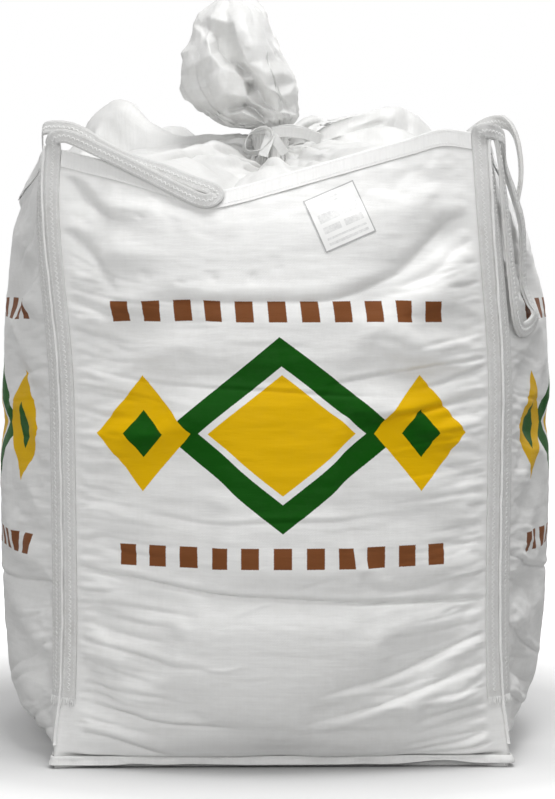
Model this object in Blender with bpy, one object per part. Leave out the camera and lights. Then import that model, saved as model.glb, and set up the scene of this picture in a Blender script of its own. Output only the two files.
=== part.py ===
# Filled one-tonne bulk bag: a square-based woven sack with bulging panels, webbing
# lifting loops at its corners, a hemmed rim and a filling skirt that is gathered,
# tied and folded over.
# Metres, +Z up. The origin is the middle of the base, on the floor, and the front
# panel faces -Y.

import math

import bmesh
import bpy
from mathutils import Vector
from mathutils.bvhtree import BVHTree

# Sack
base_width = 0.90              # across the base, its hem included
seam_width = 0.847             # between two neighbouring corner seams at mid height
belly_width = 1.144            # across the bulge of two opposite panels
rim_height = 1.21              # corner tops
rim_width = 0.853              # between two neighbouring corner tops
top_lean = 0.028               # the filled top leans this far towards -X
fill_drop = 0.045              # from the corner tops down to the top of the compost
rim_tuck = 0.016               # from the rim down to the compost behind it
pucker_depth = 0.006           # of the gathers beside the webbing
pucker_height = 0.085          # from one gather to the next
clearance = 0.0005             # between two pieces that touch

# Hems and seams
base_hem_height = 0.024
base_hem_foot = 0.008          # its thickness on the floor
base_hem_top = 0.004           # its thickness at its upper edge
rim_hem_width = 0.033
rim_hem_thickness = 0.0025
seam_ridge_width = 0.005
seam_ridge_height = 0.006

# Webbing
webbing_width = 0.032
webbing_thickness = 0.003
webbing_start = 0.135          # lower ends of the sewn legs
folded_width = 0.022           # of the free loop, whose webbing is folded double
folded_thickness = 0.008
hanging_depth = 0.37           # how far a loop that hangs outside reaches below the rim
hanging_spread = 0.098         # between its two strands

# Skirt, neck and tuft
neck_x = -0.015
neck_radius = 0.036
neck_rise = 0.087              # from the top of the compost up to the middle of the tie
tuft_height = 0.273            # from the middle of the tie up to the tip
skirt_rise = 0.062             # of the skirt above the compost, at the neck
front_hollow = 0.046           # how much lower it lies in front of the neck
pleat_depth = 0.007
collar_width = 0.012           # of the tape where it is drawn tight
tape_width = 0.024
tape_thickness = 0.002
knot_size = 0.017
left_bow = (0.060, 0.048)      # length and height of the bow's two loops
right_bow = (0.110, 0.026)
tail_length = 0.050

# The gathered cloth stands up from the neck as a tuft and droops to the left. Each
# ring of it: left and right ends seen from the front, from the middle of the tie, and
# half depth, all as shares of the tuft's height
tuft_rings = [
    ((-0.304, 0.037), (0.205, 0.106), 0.212),
    ((-0.476, 0.092), (0.231, 0.183), 0.300),
    ((-0.630, 0.227), (0.234, 0.308), 0.366),
    ((-0.696, 0.403), (0.209, 0.432), 0.396),
    ((-0.689, 0.586), (0.121, 0.601), 0.381),
    ((-0.648, 0.747), (0.033, 0.755), 0.330),
    ((-0.604, 0.864), (-0.026, 0.872), 0.249),
    ((-0.487, 0.938), (-0.110, 0.956), 0.147),
]
tuft_peak = (-0.341, 1.0)
tuft_ripples = 7
tuft_ripple_depth = 0.05       # as a share of the ring
tuft_cleft_depth = 0.30        # of the valley at its front, as a share of the ring

# Two swollen folds of the skirt, a broad one right of the neck and a small one at
# the back left: middle (x, y), reach and height, as shares of half the rim's width
swollen_folds = ((0.563, 0.281, 0.352, 0.141), (-0.797, 0.445, 0.206, 0.293))

# Label
label_width = 0.104
label_height = 0.106           # seen square on, the panel leans back behind it
label_thickness = 0.0008
label_x = 0.108                # across to its middle
label_drop = 0.142             # from the corner tops down to its middle
label_turn = 23.5              # degrees, its right side up
label_cells = 5

panel_names = ("front", "right", "back", "left")
corner_names = ("front_left", "front_right", "back_right", "back_left")

fill_height = rim_height - fill_drop
neck_height = fill_height + neck_rise
base_half = base_width / 2 - base_hem_foot - clearance
belly_half = belly_width / 2
seam_half = seam_width / 2
rim_half = rim_width / 2
webbing_edge = seam_ridge_width / 2 + clearance + webbing_width

# Half the distance between two corner seams, by height as a share of the corner tops'
corner_profile = [
    (0.0000, base_half),
    (0.0198, base_half + 0.001),
    (0.0661, seam_half + 0.013),
    (0.1240, seam_half + 0.005),
    (0.2727, seam_half),
    (0.6800, seam_half + 0.005),
    (0.9091, rim_half + 0.005),
    (1.0000, rim_half),
    (1.0496, rim_half - 0.004),
]

# How much of the belly's bulge a panel's middle has reached, by the same share
bulge_profile = [
    (0.0000, 0.004),
    (0.0198, 0.03),
    (0.0372, 0.17),
    (0.0579, 0.42),
    (0.0992, 0.69),
    (0.1653, 0.87),
    (0.2479, 0.95),
    (0.4000, 1.0),
    (0.5700, 0.985),
    (0.7438, 0.91),
    (0.8512, 0.76),
    (0.8843, 0.65),
    (0.9174, 0.49),
    (0.9504, 0.32),
    (1.0000, 0.13),
    (1.0496, 0.06),
]

# How far the rim drops below the corner tops, as a share of their height, from a
# panel's left seam (-1) to its right seam (1). The front rim has a deep fold left of
# its middle.
rim_drop = {
    "front": [(-1, 0.0041), (-0.62, 0.0372), (-0.24, 0.0810), (-0.06, 0.0636),
              (0.3, 0.0264), (0.61, -0.0050), (0.85, -0.0273), (1, -0.0066)],
    "right": [(-1, -0.0066), (-0.6, 0.0182), (0.1, 0.0545), (0.6, 0.0281), (1, 0.0000)],
    "back": [(-1, 0.0000), (-0.5, 0.0347), (0.2, 0.0529), (0.7, 0.0298), (1, 0.0083)],
    "left": [(-1, 0.0083), (-0.4, 0.0413), (0.3, 0.0595), (0.75, 0.0298), (1, 0.0041)],
}

# Folds pressed into the panels: where each starts and ends (across from -1 to 1, and
# height), how far its middle sags, its half width and its depth. All but the places
# across are shares of the rim's height.
front_folds = [
    ((0.92, 0.9091), (0.22, 0.7479), 0.0331, 0.0347, 0.0198),
    ((0.92, 0.8264), (0.45, 0.7149), 0.0165, 0.0281, -0.0083),
    ((-0.92, 0.8678), (-0.62, 0.7521), -0.0083, 0.0248, 0.0132),
    ((-0.92, 0.9587), (-0.62, 0.8678), 0.0083, 0.0248, 0.0124),
    ((-0.92, 0.7537), (-0.60, 0.7174), 0.0000, 0.0215, 0.0083),
    ((-0.92, 0.6529), (0.25, 0.6132), 0.0116, 0.0215, 0.0074),
    ((0.92, 0.6612), (0.10, 0.6074), 0.0050, 0.0248, 0.0099),
    ((-0.92, 0.3306), (0.92, 0.2744), 0.0198, 0.0231, 0.0116),
    ((0.92, 0.2231), (0.00, 0.0909), 0.0000, 0.0314, 0.0124),
    ((-0.92, 0.1446), (-0.25, 0.0992), 0.0000, 0.0248, 0.0099),
]
side_folds = [
    ((-0.92, 0.2810), (-0.15, 0.3388), 0.0248, 0.0298, 0.0116),
    ((0.92, 0.2314), (0.15, 0.3223), 0.0248, 0.0298, 0.0116),
    ((-0.92, 0.1405), (-0.20, 0.2231), 0.0083, 0.0281, 0.0107),
    ((0.92, 0.1240), (0.15, 0.1983), 0.0083, 0.0281, 0.0107),
    ((-0.92, 0.8512), (-0.30, 0.7438), 0.0165, 0.0298, 0.0149),
    ((0.92, 0.8760), (0.25, 0.7603), 0.0165, 0.0314, 0.0157),
    ((-0.92, 0.5620), (0.30, 0.5372), 0.0165, 0.0248, 0.0074),
]
panel_folds = {
    "front": front_folds,
    "right": side_folds,
    "back": [((-s0, z0), (-s1, z1), sag, half, depth)
             for (s0, z0), (s1, z1), sag, half, depth in side_folds],
    "left": [((-s0, z0), (-s1, z1), sag, half, depth)
             for (s0, z0), (s1, z1), sag, half, depth in side_folds],
}

# Mesh divisions
panel_columns = 14             # between the webbing legs of a panel
middle_rows = 14
upper_rows = 6
upper_rows_start = 0.86
top_shares = (0.985, 0.86, 0.66, 0.40)
skirt_shares = (0.975, 0.87, 0.71, 0.54, 0.36, 0.20)


def clear_scene():
    for thing in list(bpy.data.objects):
        bpy.data.objects.remove(thing, do_unlink=True)


def fabric_material(name, color, roughness):
    material = bpy.data.materials.new(name)
    material.use_nodes = True
    shader = material.node_tree.nodes["Principled BSDF"]
    shader.inputs["Base Color"].default_value = (*color, 1.0)
    shader.inputs["Roughness"].default_value = roughness
    shader.inputs["Metallic"].default_value = 0.0
    return material


def add_object(name, mesh_data, material):
    mesh = bpy.data.meshes.new(name)
    mesh_data.to_mesh(mesh)
    mesh_data.free()
    mesh.materials.append(material)
    mesh.shade_smooth()
    mesh.set_sharp_from_angle(angle=math.radians(40))
    thing = bpy.data.objects.new(name, mesh)
    bpy.context.collection.objects.link(thing)
    return thing


def linear(points, x):
    if x <= points[0][0]:
        return points[0][1]
    for (x0, y0), (x1, y1) in zip(points, points[1:]):
        if x <= x1:
            return y0 + (y1 - y0) * (x - x0) / (x1 - x0)
    return points[-1][1]


def smooth(points, x):
    # A cubic through the points, with each slope taken from its two neighbours
    x = min(max(x, points[0][0]), points[-1][0])
    index = 0
    while index < len(points) - 2 and x > points[index + 1][0]:
        index += 1

    def slope(k):
        before = points[max(k - 1, 0)]
        after = points[min(k + 1, len(points) - 1)]
        return (after[1] - before[1]) / (after[0] - before[0])

    (x0, y0), (x1, y1) = points[index], points[index + 1]
    span = x1 - x0
    t = (x - x0) / span
    blend = t * t * (3 - 2 * t)
    bend = slope(index) * span * t * (1 - t) ** 2 - slope(index + 1) * span * t * t * (1 - t)
    return y0 + (y1 - y0) * blend + bend


def step(x, low, high):
    t = min(max((x - low) / (high - low), 0.0), 1.0)
    return t * t * (3 - 2 * t)


# Surface of the sack

def corner_distance(z):
    return smooth(corner_profile, z / rim_height)


def belly_distance(z):
    return base_half + (belly_half - base_half) * smooth(bulge_profile, z / rim_height)


def rim_level(panel, across):
    return rim_height * (1 - linear(rim_drop[panel_names[panel]], across))


def fold_push(panel, across, z):
    # Distance that folds and gathers move the fabric outwards
    push = 0.0
    for start, end, sag, half, depth in panel_folds[panel_names[panel]]:
        share = (across - start[0]) / (end[0] - start[0])
        if not 0.0 < share < 1.0:
            continue
        height = start[1] + (end[1] - start[1]) * share - 4 * sag * share * (1 - share)
        fade = min(1.0, 3 * (1 - share)) * min(1.0, 5 * share)
        push -= rim_height * depth * fade * math.exp(-(((z / rim_height - height) / half) ** 2))
    edge = 1 - abs(across)
    gather = step(edge, 0.08, 0.20) * (1 - step(edge, 0.25, 0.75))
    level = z + (0.35 * edge if panel % 2 else 0.22 * edge) * seam_half
    wave = math.cos(2 * math.pi * level / pucker_height + 1.7 * panel + across)
    hold = step(z, 0.03, 0.12) * (1 - step(z, rim_height - 0.16, rim_height - 0.05))
    return push * step(edge, 0.076, 0.16) + pucker_depth * gather * wave * hold


def turned(panel, along, out, z):
    # A panel's own across and out directions, turned into the bag's frame
    lean = -top_lean * step(z, rim_height * 0.58, rim_height * 0.95)
    if panel == 0:
        return Vector((along + lean, -out, z))
    if panel == 1:
        return Vector((out + lean, along, z))
    if panel == 2:
        return Vector((-along + lean, out, z))
    return Vector((-out + lean, -along, z))


def panel_point(panel, across, z, out=0.0):
    # A panel is an arc between its two corner seams
    corner = corner_distance(z)
    bulge = max(belly_distance(z) - corner, 0.0006)
    radius = (corner ** 2 + bulge ** 2) / (2 * bulge)
    half_angle = math.asin(corner / radius)
    angle = across * half_angle
    depth = corner + radius * (math.cos(angle) - math.cos(half_angle))
    depth += fold_push(panel, across, z)
    return turned(panel, radius * math.sin(angle) + out * math.sin(angle),
                  depth + out * math.cos(angle), z)


def arc_half_length():
    bulge = belly_half - seam_half
    radius = (seam_half ** 2 + bulge ** 2) / (2 * bulge)
    return radius * math.asin(seam_half / radius)


def column_places():
    edge = 1 - webbing_edge / arc_half_length()
    places = [-1.0]
    for k in range(panel_columns + 1):
        places.append(-edge + 2 * edge * k / panel_columns)
    return places


panel_half_length = arc_half_length()
columns = [(panel, across) for panel in range(4) for across in column_places()]
panel_stride = panel_columns + 2


def row_levels(panel, across):
    # Heights of a column's mesh rows, from the floor to the rim
    top = rim_level(panel, across)
    rows = [0.0, base_hem_height, 0.045, 0.070, 0.100]
    for k in range(middle_rows + 1):
        rows.append(webbing_start + (upper_rows_start - webbing_start) * k / middle_rows)
    for k in range(1, upper_rows + 1):
        rows.append(upper_rows_start + (top - rim_hem_width - upper_rows_start) * k / upper_rows)
    rows.append(top)
    return rows


webbing_row = 5
wall = []
for panel, across in columns:
    wall.append([panel_point(panel, across, z) for z in row_levels(panel, across)])
row_count = len(wall[0])
rim_row = row_count - 1


def ring_at(row):
    return [column[row] for column in wall]


def outward_ring(ring, distance):
    # The ring moved out sideways by a distance, mitred at its corners
    moved = []
    for k, point in enumerate(ring):
        before = (point - ring[k - 1]).to_2d().normalized()
        after = (ring[(k + 1) % len(ring)] - point).to_2d().normalized()
        normal_before = Vector((before.y, -before.x))
        normal_after = Vector((after.y, -after.x))
        middle = (normal_before + normal_after).normalized()
        middle = middle * (distance / max(middle.dot(normal_after), 0.5))
        moved.append(point + Vector((middle.x, middle.y, 0.0)))
    return moved


def top_level(column, share):
    # Height of the compost under the skirt, from the rim (1) to the neck (0)
    edge = wall[column][rim_row].z - rim_tuck
    levels = [(0.0, fill_height)]
    for ring in reversed(top_shares):
        levels.append((ring, edge + (fill_height - edge) * step(1 - ring, 0.0, 0.85)))
    return linear(levels, share)


def top_point(column, share):
    rim = wall[column][rim_row]
    return Vector((neck_x + (rim.x - neck_x) * share, rim.y * share, top_level(column, share)))


# Solids from rings of points

def bridge(mesh_data, lower, upper, falling=False):
    # Two triangles between each pair of points, cut on the same side all round
    count = len(lower)
    for k in range(count):
        after = (k + 1) % count
        if falling:
            mesh_data.faces.new((lower[k], lower[after], upper[k]))
            mesh_data.faces.new((lower[after], upper[after], upper[k]))
        else:
            mesh_data.faces.new((lower[k], lower[after], upper[after]))
            mesh_data.faces.new((lower[k], upper[after], upper[k]))


def fan(mesh_data, ring, tip):
    count = len(ring)
    for k in range(count):
        mesh_data.faces.new((ring[k], ring[(k + 1) % count], tip))


def ring_solid(name, rings, material, closed=False):
    # A solid swept through rings of equal length, closed on itself or with flat ends
    mesh_data = bmesh.new()
    loops = [[mesh_data.verts.new(point) for point in ring] for ring in rings]
    for lower, upper in zip(loops, loops[1:]):
        bridge(mesh_data, lower, upper)
    if closed:
        bridge(mesh_data, loops[-1], loops[0])
    else:
        mesh_data.faces.new(list(reversed(loops[0])))
        mesh_data.faces.new(loops[-1])
    bmesh.ops.recalc_face_normals(mesh_data, faces=mesh_data.faces)
    return add_object(name, mesh_data, material)


def make_sack(material):
    mesh_data = bmesh.new()
    loops = [[mesh_data.verts.new(point) for point in ring_at(row)] for row in range(row_count)]
    for share in top_shares:
        loops.append([mesh_data.verts.new(top_point(k, share)) for k in range(len(columns))])
    for lower, upper in zip(loops, loops[1:]):
        bridge(mesh_data, lower, upper)
    mesh_data.faces.new(list(reversed(loops[0])))
    tip = mesh_data.verts.new((neck_x, 0.0, fill_height))
    fan(mesh_data, loops[-1], tip)
    return add_object("sack_body", mesh_data, material)


# Skirt and tuft

def frontness(column):
    # 1 straight in front of the neck, falling off to either side
    return math.exp(-(((around(column) + math.pi / 2) / 1.25) ** 2))


def skirt_level(column, share):
    point = top_point(column, share)
    rise = skirt_rise - front_hollow * frontness(column)
    level = point.z + 0.004 + rise * step(1 - share, 0.0, 0.9)
    level += pleat_depth * math.cos(column * math.pi / 2) * step(1 - share, 0.05, 0.35)
    for x, y, reach, swell in swollen_folds:
        distance = math.hypot(point.x / rim_half - x, point.y / rim_half - y)
        level += rim_half * swell * math.exp(-((distance / reach) ** 2))
    return max(level, point.z + 0.003)


def skirt_point(column, share):
    point = top_point(column, share)
    point.z = skirt_level(column, share)
    return point


def around(column):
    # Angle of a column seen from the neck
    rim = wall[column][rim_row]
    return math.atan2(rim.y, rim.x - neck_x)


def neck_point(column, radius, z):
    angle = around(column)
    return Vector((neck_x + radius * math.cos(angle), radius * math.sin(angle), z))


def above_tie(x, z):
    return Vector((neck_x + x * tuft_height, 0.0, neck_height + z * tuft_height))


def tuft_point(column, left, right, half_depth, share):
    # share runs from 0 at the neck to 1 at the peak
    angle = around(column)
    middle = (above_tie(*left) + above_tie(*right)) / 2
    reach = (above_tie(*right) - above_tie(*left)) / 2
    swell = 1.0 + tuft_ripple_depth * math.cos(tuft_ripples * angle + 3 * share) * step(share, 0.0, 0.3)
    notch = math.exp(-((math.sin((angle + math.pi / 2) / 2) / 0.16) ** 2))
    swell -= tuft_cleft_depth * notch * step(share, 0.1, 0.5)
    depth = half_depth * tuft_height * math.sin(angle) * swell
    return middle + reach * math.cos(angle) * swell + Vector((0, depth, 0))


def make_skirt(material):
    mesh_data = bmesh.new()
    count = range(len(columns))
    rings = []
    for share in reversed(top_shares):
        rings.append([top_point(k, share) + Vector((0, 0, clearance)) for k in count])
    for share in skirt_shares:
        rings.append([skirt_point(k, share) for k in count])
    shoulder = fill_height + skirt_rise + 0.006
    rings.append([neck_point(k, neck_radius * 1.2, shoulder - front_hollow * frontness(k))
                  for k in count])
    collar_half = collar_width / 2 + clearance
    rings.append([neck_point(k, neck_radius, neck_height - collar_half) for k in count])
    rings.append([neck_point(k, neck_radius, neck_height + collar_half) for k in count])
    for index, (left, right, half_depth) in enumerate(tuft_rings):
        share = index / len(tuft_rings)
        rings.append([tuft_point(k, left, right, half_depth, share) for k in count])
    loops = [[mesh_data.verts.new(point) for point in ring] for ring in rings]
    for index, (lower, upper) in enumerate(zip(loops, loops[1:])):
        bridge(mesh_data, lower, upper, falling=index < len(top_shares) - 1)
    below = mesh_data.verts.new((neck_x, 0.0, fill_height + clearance))
    fan(mesh_data, list(reversed(loops[0])), below)
    fan(mesh_data, loops[-1], mesh_data.verts.new(above_tie(*tuft_peak)))
    return add_object("filling_skirt", mesh_data, material)


# Hems and corner seams

def make_base_hem(material):
    foot = ring_at(0)
    upper = ring_at(1)
    shape = (outward_ring(upper, clearance), outward_ring(upper, clearance + base_hem_top),
             outward_ring(foot, clearance + base_hem_foot), outward_ring(foot, clearance))
    sections = [list(section) for section in zip(*shape)]
    return ring_solid("base_hem", sections, material, closed=True)


def make_rim_hem(panel, material):
    lower = ring_at(rim_row - 1)
    upper = ring_at(rim_row)
    outer = clearance + rim_hem_thickness
    shape = (outward_ring(upper, clearance), outward_ring(upper, outer),
             outward_ring(lower, outer), outward_ring(lower, clearance))
    first = panel * panel_stride + 1
    sections = []
    for k in range(first, first + panel_columns + 1):
        sections.append([ring[k] for ring in shape])
    # The band stops just short of the webbing at each end
    for end, neighbour in ((0, 1), (-1, -2)):
        for k in range(4):
            towards = (sections[neighbour][k] - sections[end][k]).normalized()
            sections[end][k] = sections[end][k] + towards * 2 * clearance
    return ring_solid("rim_hem_" + panel_names[panel], sections, material)


def leg_chords(corner, row):
    # The corner seam point and the outer edges of its two webbing legs in one row
    seam = wall[corner * panel_stride][row]
    after = wall[corner * panel_stride + 1][row]
    before = wall[corner * panel_stride - 1][row]
    return seam, after, before


def chord_frame(seam, edge, handed):
    along = (edge - seam).to_2d().normalized()
    normal = Vector((along.y, -along.x, 0.0)) * handed
    return Vector((along.x, along.y, 0.0)), normal


def make_corner_seam(corner, material):
    sections = []
    half = seam_ridge_width / 2
    for row in range(2, row_count):
        seam, after, before = leg_chords(corner, row)
        along_after, normal_after = chord_frame(seam, after, 1.0)
        along_before, normal_before = chord_frame(seam, before, -1.0)
        out = (normal_after + normal_before).normalized()
        miter = clearance / out.dot(normal_after)
        sections.append([
            seam + along_after * half + normal_after * clearance,
            seam + along_after * half * 0.5 + out * seam_ridge_height,
            seam + along_before * half * 0.5 + out * seam_ridge_height,
            seam + along_before * half + normal_before * clearance,
            seam + out * miter,
        ])
    return ring_solid("corner_seam_" + corner_names[corner], sections, material)


# Lifting loops. Webbing runs up the leg on the panel that follows the corner, along
# the free loop, and down the leg on the panel before it.

def leg_section(corner, row, before_corner):
    seam, after, before = leg_chords(corner, row)
    edge, handed = (before, -1.0) if before_corner else (after, 1.0)
    along, normal = chord_frame(seam, edge, handed)
    start = seam + along * (seam_ridge_width / 2 + clearance)
    inner = normal * clearance
    outer = normal * (clearance + webbing_thickness)
    return [start + inner, edge + inner, edge + outer, start + outer]


def strap_section(centre, tangent, normal, width, thickness):
    normal = (normal - tangent * normal.dot(tangent)).normalized()
    across = tangent.cross(normal).normalized()
    side = across * width / 2
    face = normal * thickness / 2
    return [centre - side - face, centre + side - face, centre + side + face, centre - side + face]


def catmull(p0, p1, p2, p3, t):
    return 0.5 * (2 * p1 + (p2 - p0) * t + (2 * p0 - 5 * p1 + 4 * p2 - p3) * t * t
                  + (3 * p1 - p0 - 3 * p2 + p3) * t * t * t)


def free_sections(anchors, steps):
    # anchors hold centre, outward normal, width and thickness
    centres = []
    frames = []
    for k in range(1, len(anchors) - 2):
        for n in range(steps):
            t = n / steps
            points = [anchors[k + d][0] for d in (-1, 0, 1, 2)]
            centres.append(catmull(*points, t))
            frames.append([anchors[k][m] * (1 - t) + anchors[k + 1][m] * t for m in (1, 2, 3)])
    centres.append(anchors[-2][0])
    frames.append(list(anchors[-2][1:]))
    sections = []
    for k, centre in enumerate(centres):
        before = centres[max(k - 1, 0)]
        after = centres[min(k + 1, len(centres) - 1)]
        tangent = (after - before).normalized()
        normal, width, thickness = frames[k]
        sections.append(strap_section(centre, tangent, normal, width, thickness))
    return sections


def section_anchor(section):
    centre = (section[0] + section[1] + section[2] + section[3]) / 4
    normal = (section[3] - section[0]).normalized()
    return [centre, normal, (section[1] - section[0]).length, webbing_thickness]


def make_loop(corner, free_points, material):
    # free_points hold centre and outward normal from the leg after the corner to the
    # leg before it
    rising = [leg_section(corner, row, False) for row in range(webbing_row, row_count)]
    falling = [leg_section(corner, row, True) for row in range(webbing_row, row_count)]
    anchors = [section_anchor(rising[-2]), section_anchor(rising[-1])]
    for centre, normal in free_points:
        anchors.append([centre, normal, folded_width, folded_thickness])
    anchors += [section_anchor(falling[-1]), section_anchor(falling[-2])]
    free = free_sections(anchors, 2)
    sections = rising + free[1:-1] + list(reversed(falling))
    return ring_solid("lift_loop_" + corner_names[corner], sections, material)


def on_rim(panel, across, up, out):
    # A point beside or above the rim and the direction that the panel faces there
    level = rim_level(panel, across)
    point, normal = on_panel(panel, across, level + min(up, 0.0), out)
    return point + Vector((0, 0, max(up, 0.0))), normal


def on_panel(panel, across, z, out):
    inner = panel_point(panel, across, z)
    normal = (panel_point(panel, across, z, 0.1) - inner).normalized()
    return inner + normal * out, normal


def rim_loop_points():
    # Lies along the front rim: out on the front face, back along the top of the rim
    upright = Vector((0, 0, 1))
    points = []
    for across, up, out in ((-0.955, 0.016, 0.012), (-0.89, 0.028, 0.017), (-0.74, 0.016, 0.015),
                            (-0.51, -0.004, 0.014), (-0.33, -0.018, 0.014), (-0.255, -0.017, 0.014)):
        points.append(on_rim(0, across, up, out))
    points.append(on_rim(0, -0.215, -0.005, 0.014))
    for across, up, out in ((-0.25, 0.008, 0.013), (-0.33, 0.009, 0.011), (-0.56, 0.019, 0.010),
                            (-0.74, 0.038, 0.010), (-0.87, 0.056, 0.010)):
        centre, normal = on_rim(0, across, up, out)
        points.append((centre, (normal + upright * 0.3).normalized()))
    corner, normal = on_rim(3, 0.985, 0.044, 0.012)
    points.append((corner, normal))
    points.append(on_rim(3, 0.955, 0.010, 0.013))
    return points


def hanging_loop_points(panel):
    # Folds over the rim at the panel's first corner and hangs down outside the panel
    near = webbing_edge + 0.014
    far = near + hanging_spread
    middle = (near + far) / 2
    top = rim_level(panel, -1)
    bottom = top - hanging_depth
    out = webbing_thickness + folded_thickness / 2 + 0.005
    outline = [
        (0.022, top + 0.013, out - 0.002),
        (0.030, top - 0.035, out + 0.006),
        (near - 0.006, top - 0.16, out + 0.002),
        (near, bottom + 0.085, out),
        (near + 0.006, bottom + 0.030, out),
        (middle - 0.018, bottom + 0.003, out),
        (middle + 0.018, bottom + 0.003, out),
        (far - 0.006, bottom + 0.030, out),
        (far, bottom + 0.085, out),
        (far - 0.012, top - 0.16, out + 0.004),
        (0.076, top - 0.050, out + 0.010),
        (0.036, top + 0.004, out + 0.014),
    ]
    points = []
    for distance, z, stand in outline:
        points.append(on_panel(panel, -1 + distance / panel_half_length, z, stand))
    points.append(on_panel((panel + 3) % 4, 1 - 0.010 / panel_half_length, top + 0.016, 0.010))
    return points


def standing_loop_points():
    # Stands up from the back right corner and leans out over the right panel
    corner = panel_point(1, 0.96, rim_height)
    outline = [
        (0.020, -0.014, 0.040),
        (0.062, -0.040, 0.072),
        (0.108, -0.075, 0.078),
        (0.134, -0.095, 0.040),
        (0.142, -0.110, -0.040),
        (0.128, -0.105, -0.110),
        (0.100, -0.060, -0.128),
        (0.088, -0.012, -0.095),
        (0.080, 0.000, -0.030),
        (0.052, 0.004, 0.036),
    ]
    points = []
    for x, y, z in outline:
        points.append((corner + Vector((x, y, z)), Vector((1, 0, 0))))
    return points


# Tie and label

def flat_ring(name, centre, length, height, tilt, material):
    # A loop of tape seen edge on from the front, with the tape's width along Y
    segments = 12
    sections = []
    for k in range(segments):
        angle = 2 * math.pi * k / segments
        section = []
        for inset, side in ((0, -1), (0, 1), (tape_thickness, 1), (tape_thickness, -1)):
            along = (length / 2 - inset) * math.cos(angle)
            up = (height / 2 - inset) * math.sin(angle)
            section.append(centre + Vector((along * math.cos(tilt) - up * math.sin(tilt),
                                            side * tape_width / 2,
                                            along * math.sin(tilt) + up * math.cos(tilt))))
        sections.append(section)
    return ring_solid(name, sections, material, closed=True)


def tape_tail(name, start, end, material):
    sections = []
    for point in (start, start.lerp(end, 0.5) + Vector((0, -0.002, 0)), end):
        sections.append(strap_section(point, (end - start).normalized(), Vector((0, -1, 0)),
                                      tape_width, tape_thickness))
    return ring_solid(name, sections, material)


def make_tie(material):
    stand = neck_radius + tape_thickness + knot_size / 2
    knot = Vector((neck_x, -stand, neck_height - collar_width / 2))
    every = 4
    inner = (neck_radius + clearance) / math.cos(math.pi * every / len(columns))
    outer = inner + tape_thickness
    half = collar_width / 2
    sections = []
    for k in range(0, len(columns), every):
        sections.append([neck_point(k, inner, neck_height - half), neck_point(k, outer, neck_height - half),
                         neck_point(k, outer, neck_height + half), neck_point(k, inner, neck_height + half)])
    tie = ring_solid("neck_tie", sections, material, closed=True)
    cube = bmesh.new()
    bmesh.ops.create_cube(cube, size=knot_size)
    bmesh.ops.bevel(cube, geom=cube.edges[:], offset=knot_size * 0.22, segments=1, affect="EDGES")
    bmesh.ops.translate(cube, verts=cube.verts, vec=knot)
    parts = [add_object("tie_knot", cube, material)]
    front = Vector((0, -tape_width * 0.42, 0))
    left_tilt = math.radians(26)
    left_centre = knot + front - Vector((math.cos(left_tilt), 0, math.sin(left_tilt))) * left_bow[0] * 0.45
    parts.append(flat_ring("tie_left_bow", left_centre, *left_bow, left_tilt, material))
    right_tilt = math.radians(-7)
    right_centre = knot + front + Vector((math.cos(right_tilt), 0, math.sin(right_tilt))) * right_bow[0] * 0.47
    parts.append(flat_ring("tie_right_bow", right_centre, *right_bow, right_tilt, material))
    for side, drop in (("left", Vector((-0.30, -0.20, -1))), ("right", Vector((0.55, -0.16, -0.9)))):
        end = knot + drop.normalized() * tail_length
        parts.append(tape_tail("tie_tail_" + side, knot + front * 0.3, end, material))
    for part in parts:
        part.hide_render = True
        part.display_type = "WIRE"
        join = tie.modifiers.new(part.name, "BOOLEAN")
        join.operation = "UNION"
        join.object = part
    return tie


def make_label(sack, material):
    # A patch of film on the front panel, laid against the fabric from point to point
    surface = BVHTree.FromObject(sack, bpy.context.evaluated_depsgraph_get())
    turn = math.radians(label_turn)
    cells = range(label_cells + 1)
    layers = []
    for stand in (3 * clearance, 3 * clearance + label_thickness):
        for row in cells:
            for column in cells:
                along = (column / label_cells - 0.5) * label_width
                up = (row / label_cells - 0.5) * label_height
                x = label_x + along * math.cos(turn) - up * math.sin(turn)
                z = rim_height - label_drop + along * math.sin(turn) + up * math.cos(turn)
                place = surface.ray_cast(Vector((x, -1.0, z)), Vector((0, 1, 0)))[0]
                layers.append(place - Vector((0, stand, 0)))
    mesh_data = bmesh.new()
    verts = [mesh_data.verts.new(point) for point in layers]
    side = label_cells + 1
    back = verts[:side * side]
    front = verts[side * side:]
    border = [k for k in range(side)] + [side * k + side - 1 for k in range(1, side)]
    border += [side * side - 1 - k for k in range(1, side)]
    border += [side * (side - 1 - k) for k in range(1, side - 1)]
    for row in range(label_cells):
        for column in range(label_cells):
            a = row * side + column
            square = (a, a + 1, a + side + 1, a + side)
            mesh_data.faces.new([front[k] for k in square])
            mesh_data.faces.new([back[k] for k in reversed(square)])
    for k, index in enumerate(border):
        after = border[(k + 1) % len(border)]
        mesh_data.faces.new((back[index], back[after], front[after], front[index]))
    return add_object("document_label", mesh_data, material)


def main():
    clear_scene()
    woven = fabric_material("white_woven", (0.82, 0.82, 0.80), 0.55)
    hem = fabric_material("white_hem", (0.86, 0.86, 0.84), 0.55)
    webbing = fabric_material("grey_webbing", (0.66, 0.66, 0.65), 0.75)
    ribbon = fabric_material("white_ribbon", (0.78, 0.78, 0.76), 0.45)
    patch = fabric_material("pale_label", (0.88, 0.88, 0.87), 0.40)
    sack = make_sack(woven)
    make_skirt(woven)
    make_tie(ribbon)
    make_label(sack, patch)
    make_base_hem(hem)
    for panel in range(4):
        make_rim_hem(panel, hem)
    for corner in range(4):
        make_corner_seam(corner, hem)
    make_loop(0, rim_loop_points(), webbing)
    make_loop(1, hanging_loop_points(1), webbing)
    make_loop(2, standing_loop_points(), webbing)
    make_loop(3, hanging_loop_points(3), webbing)


main()
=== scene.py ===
import itertools
import math

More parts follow.
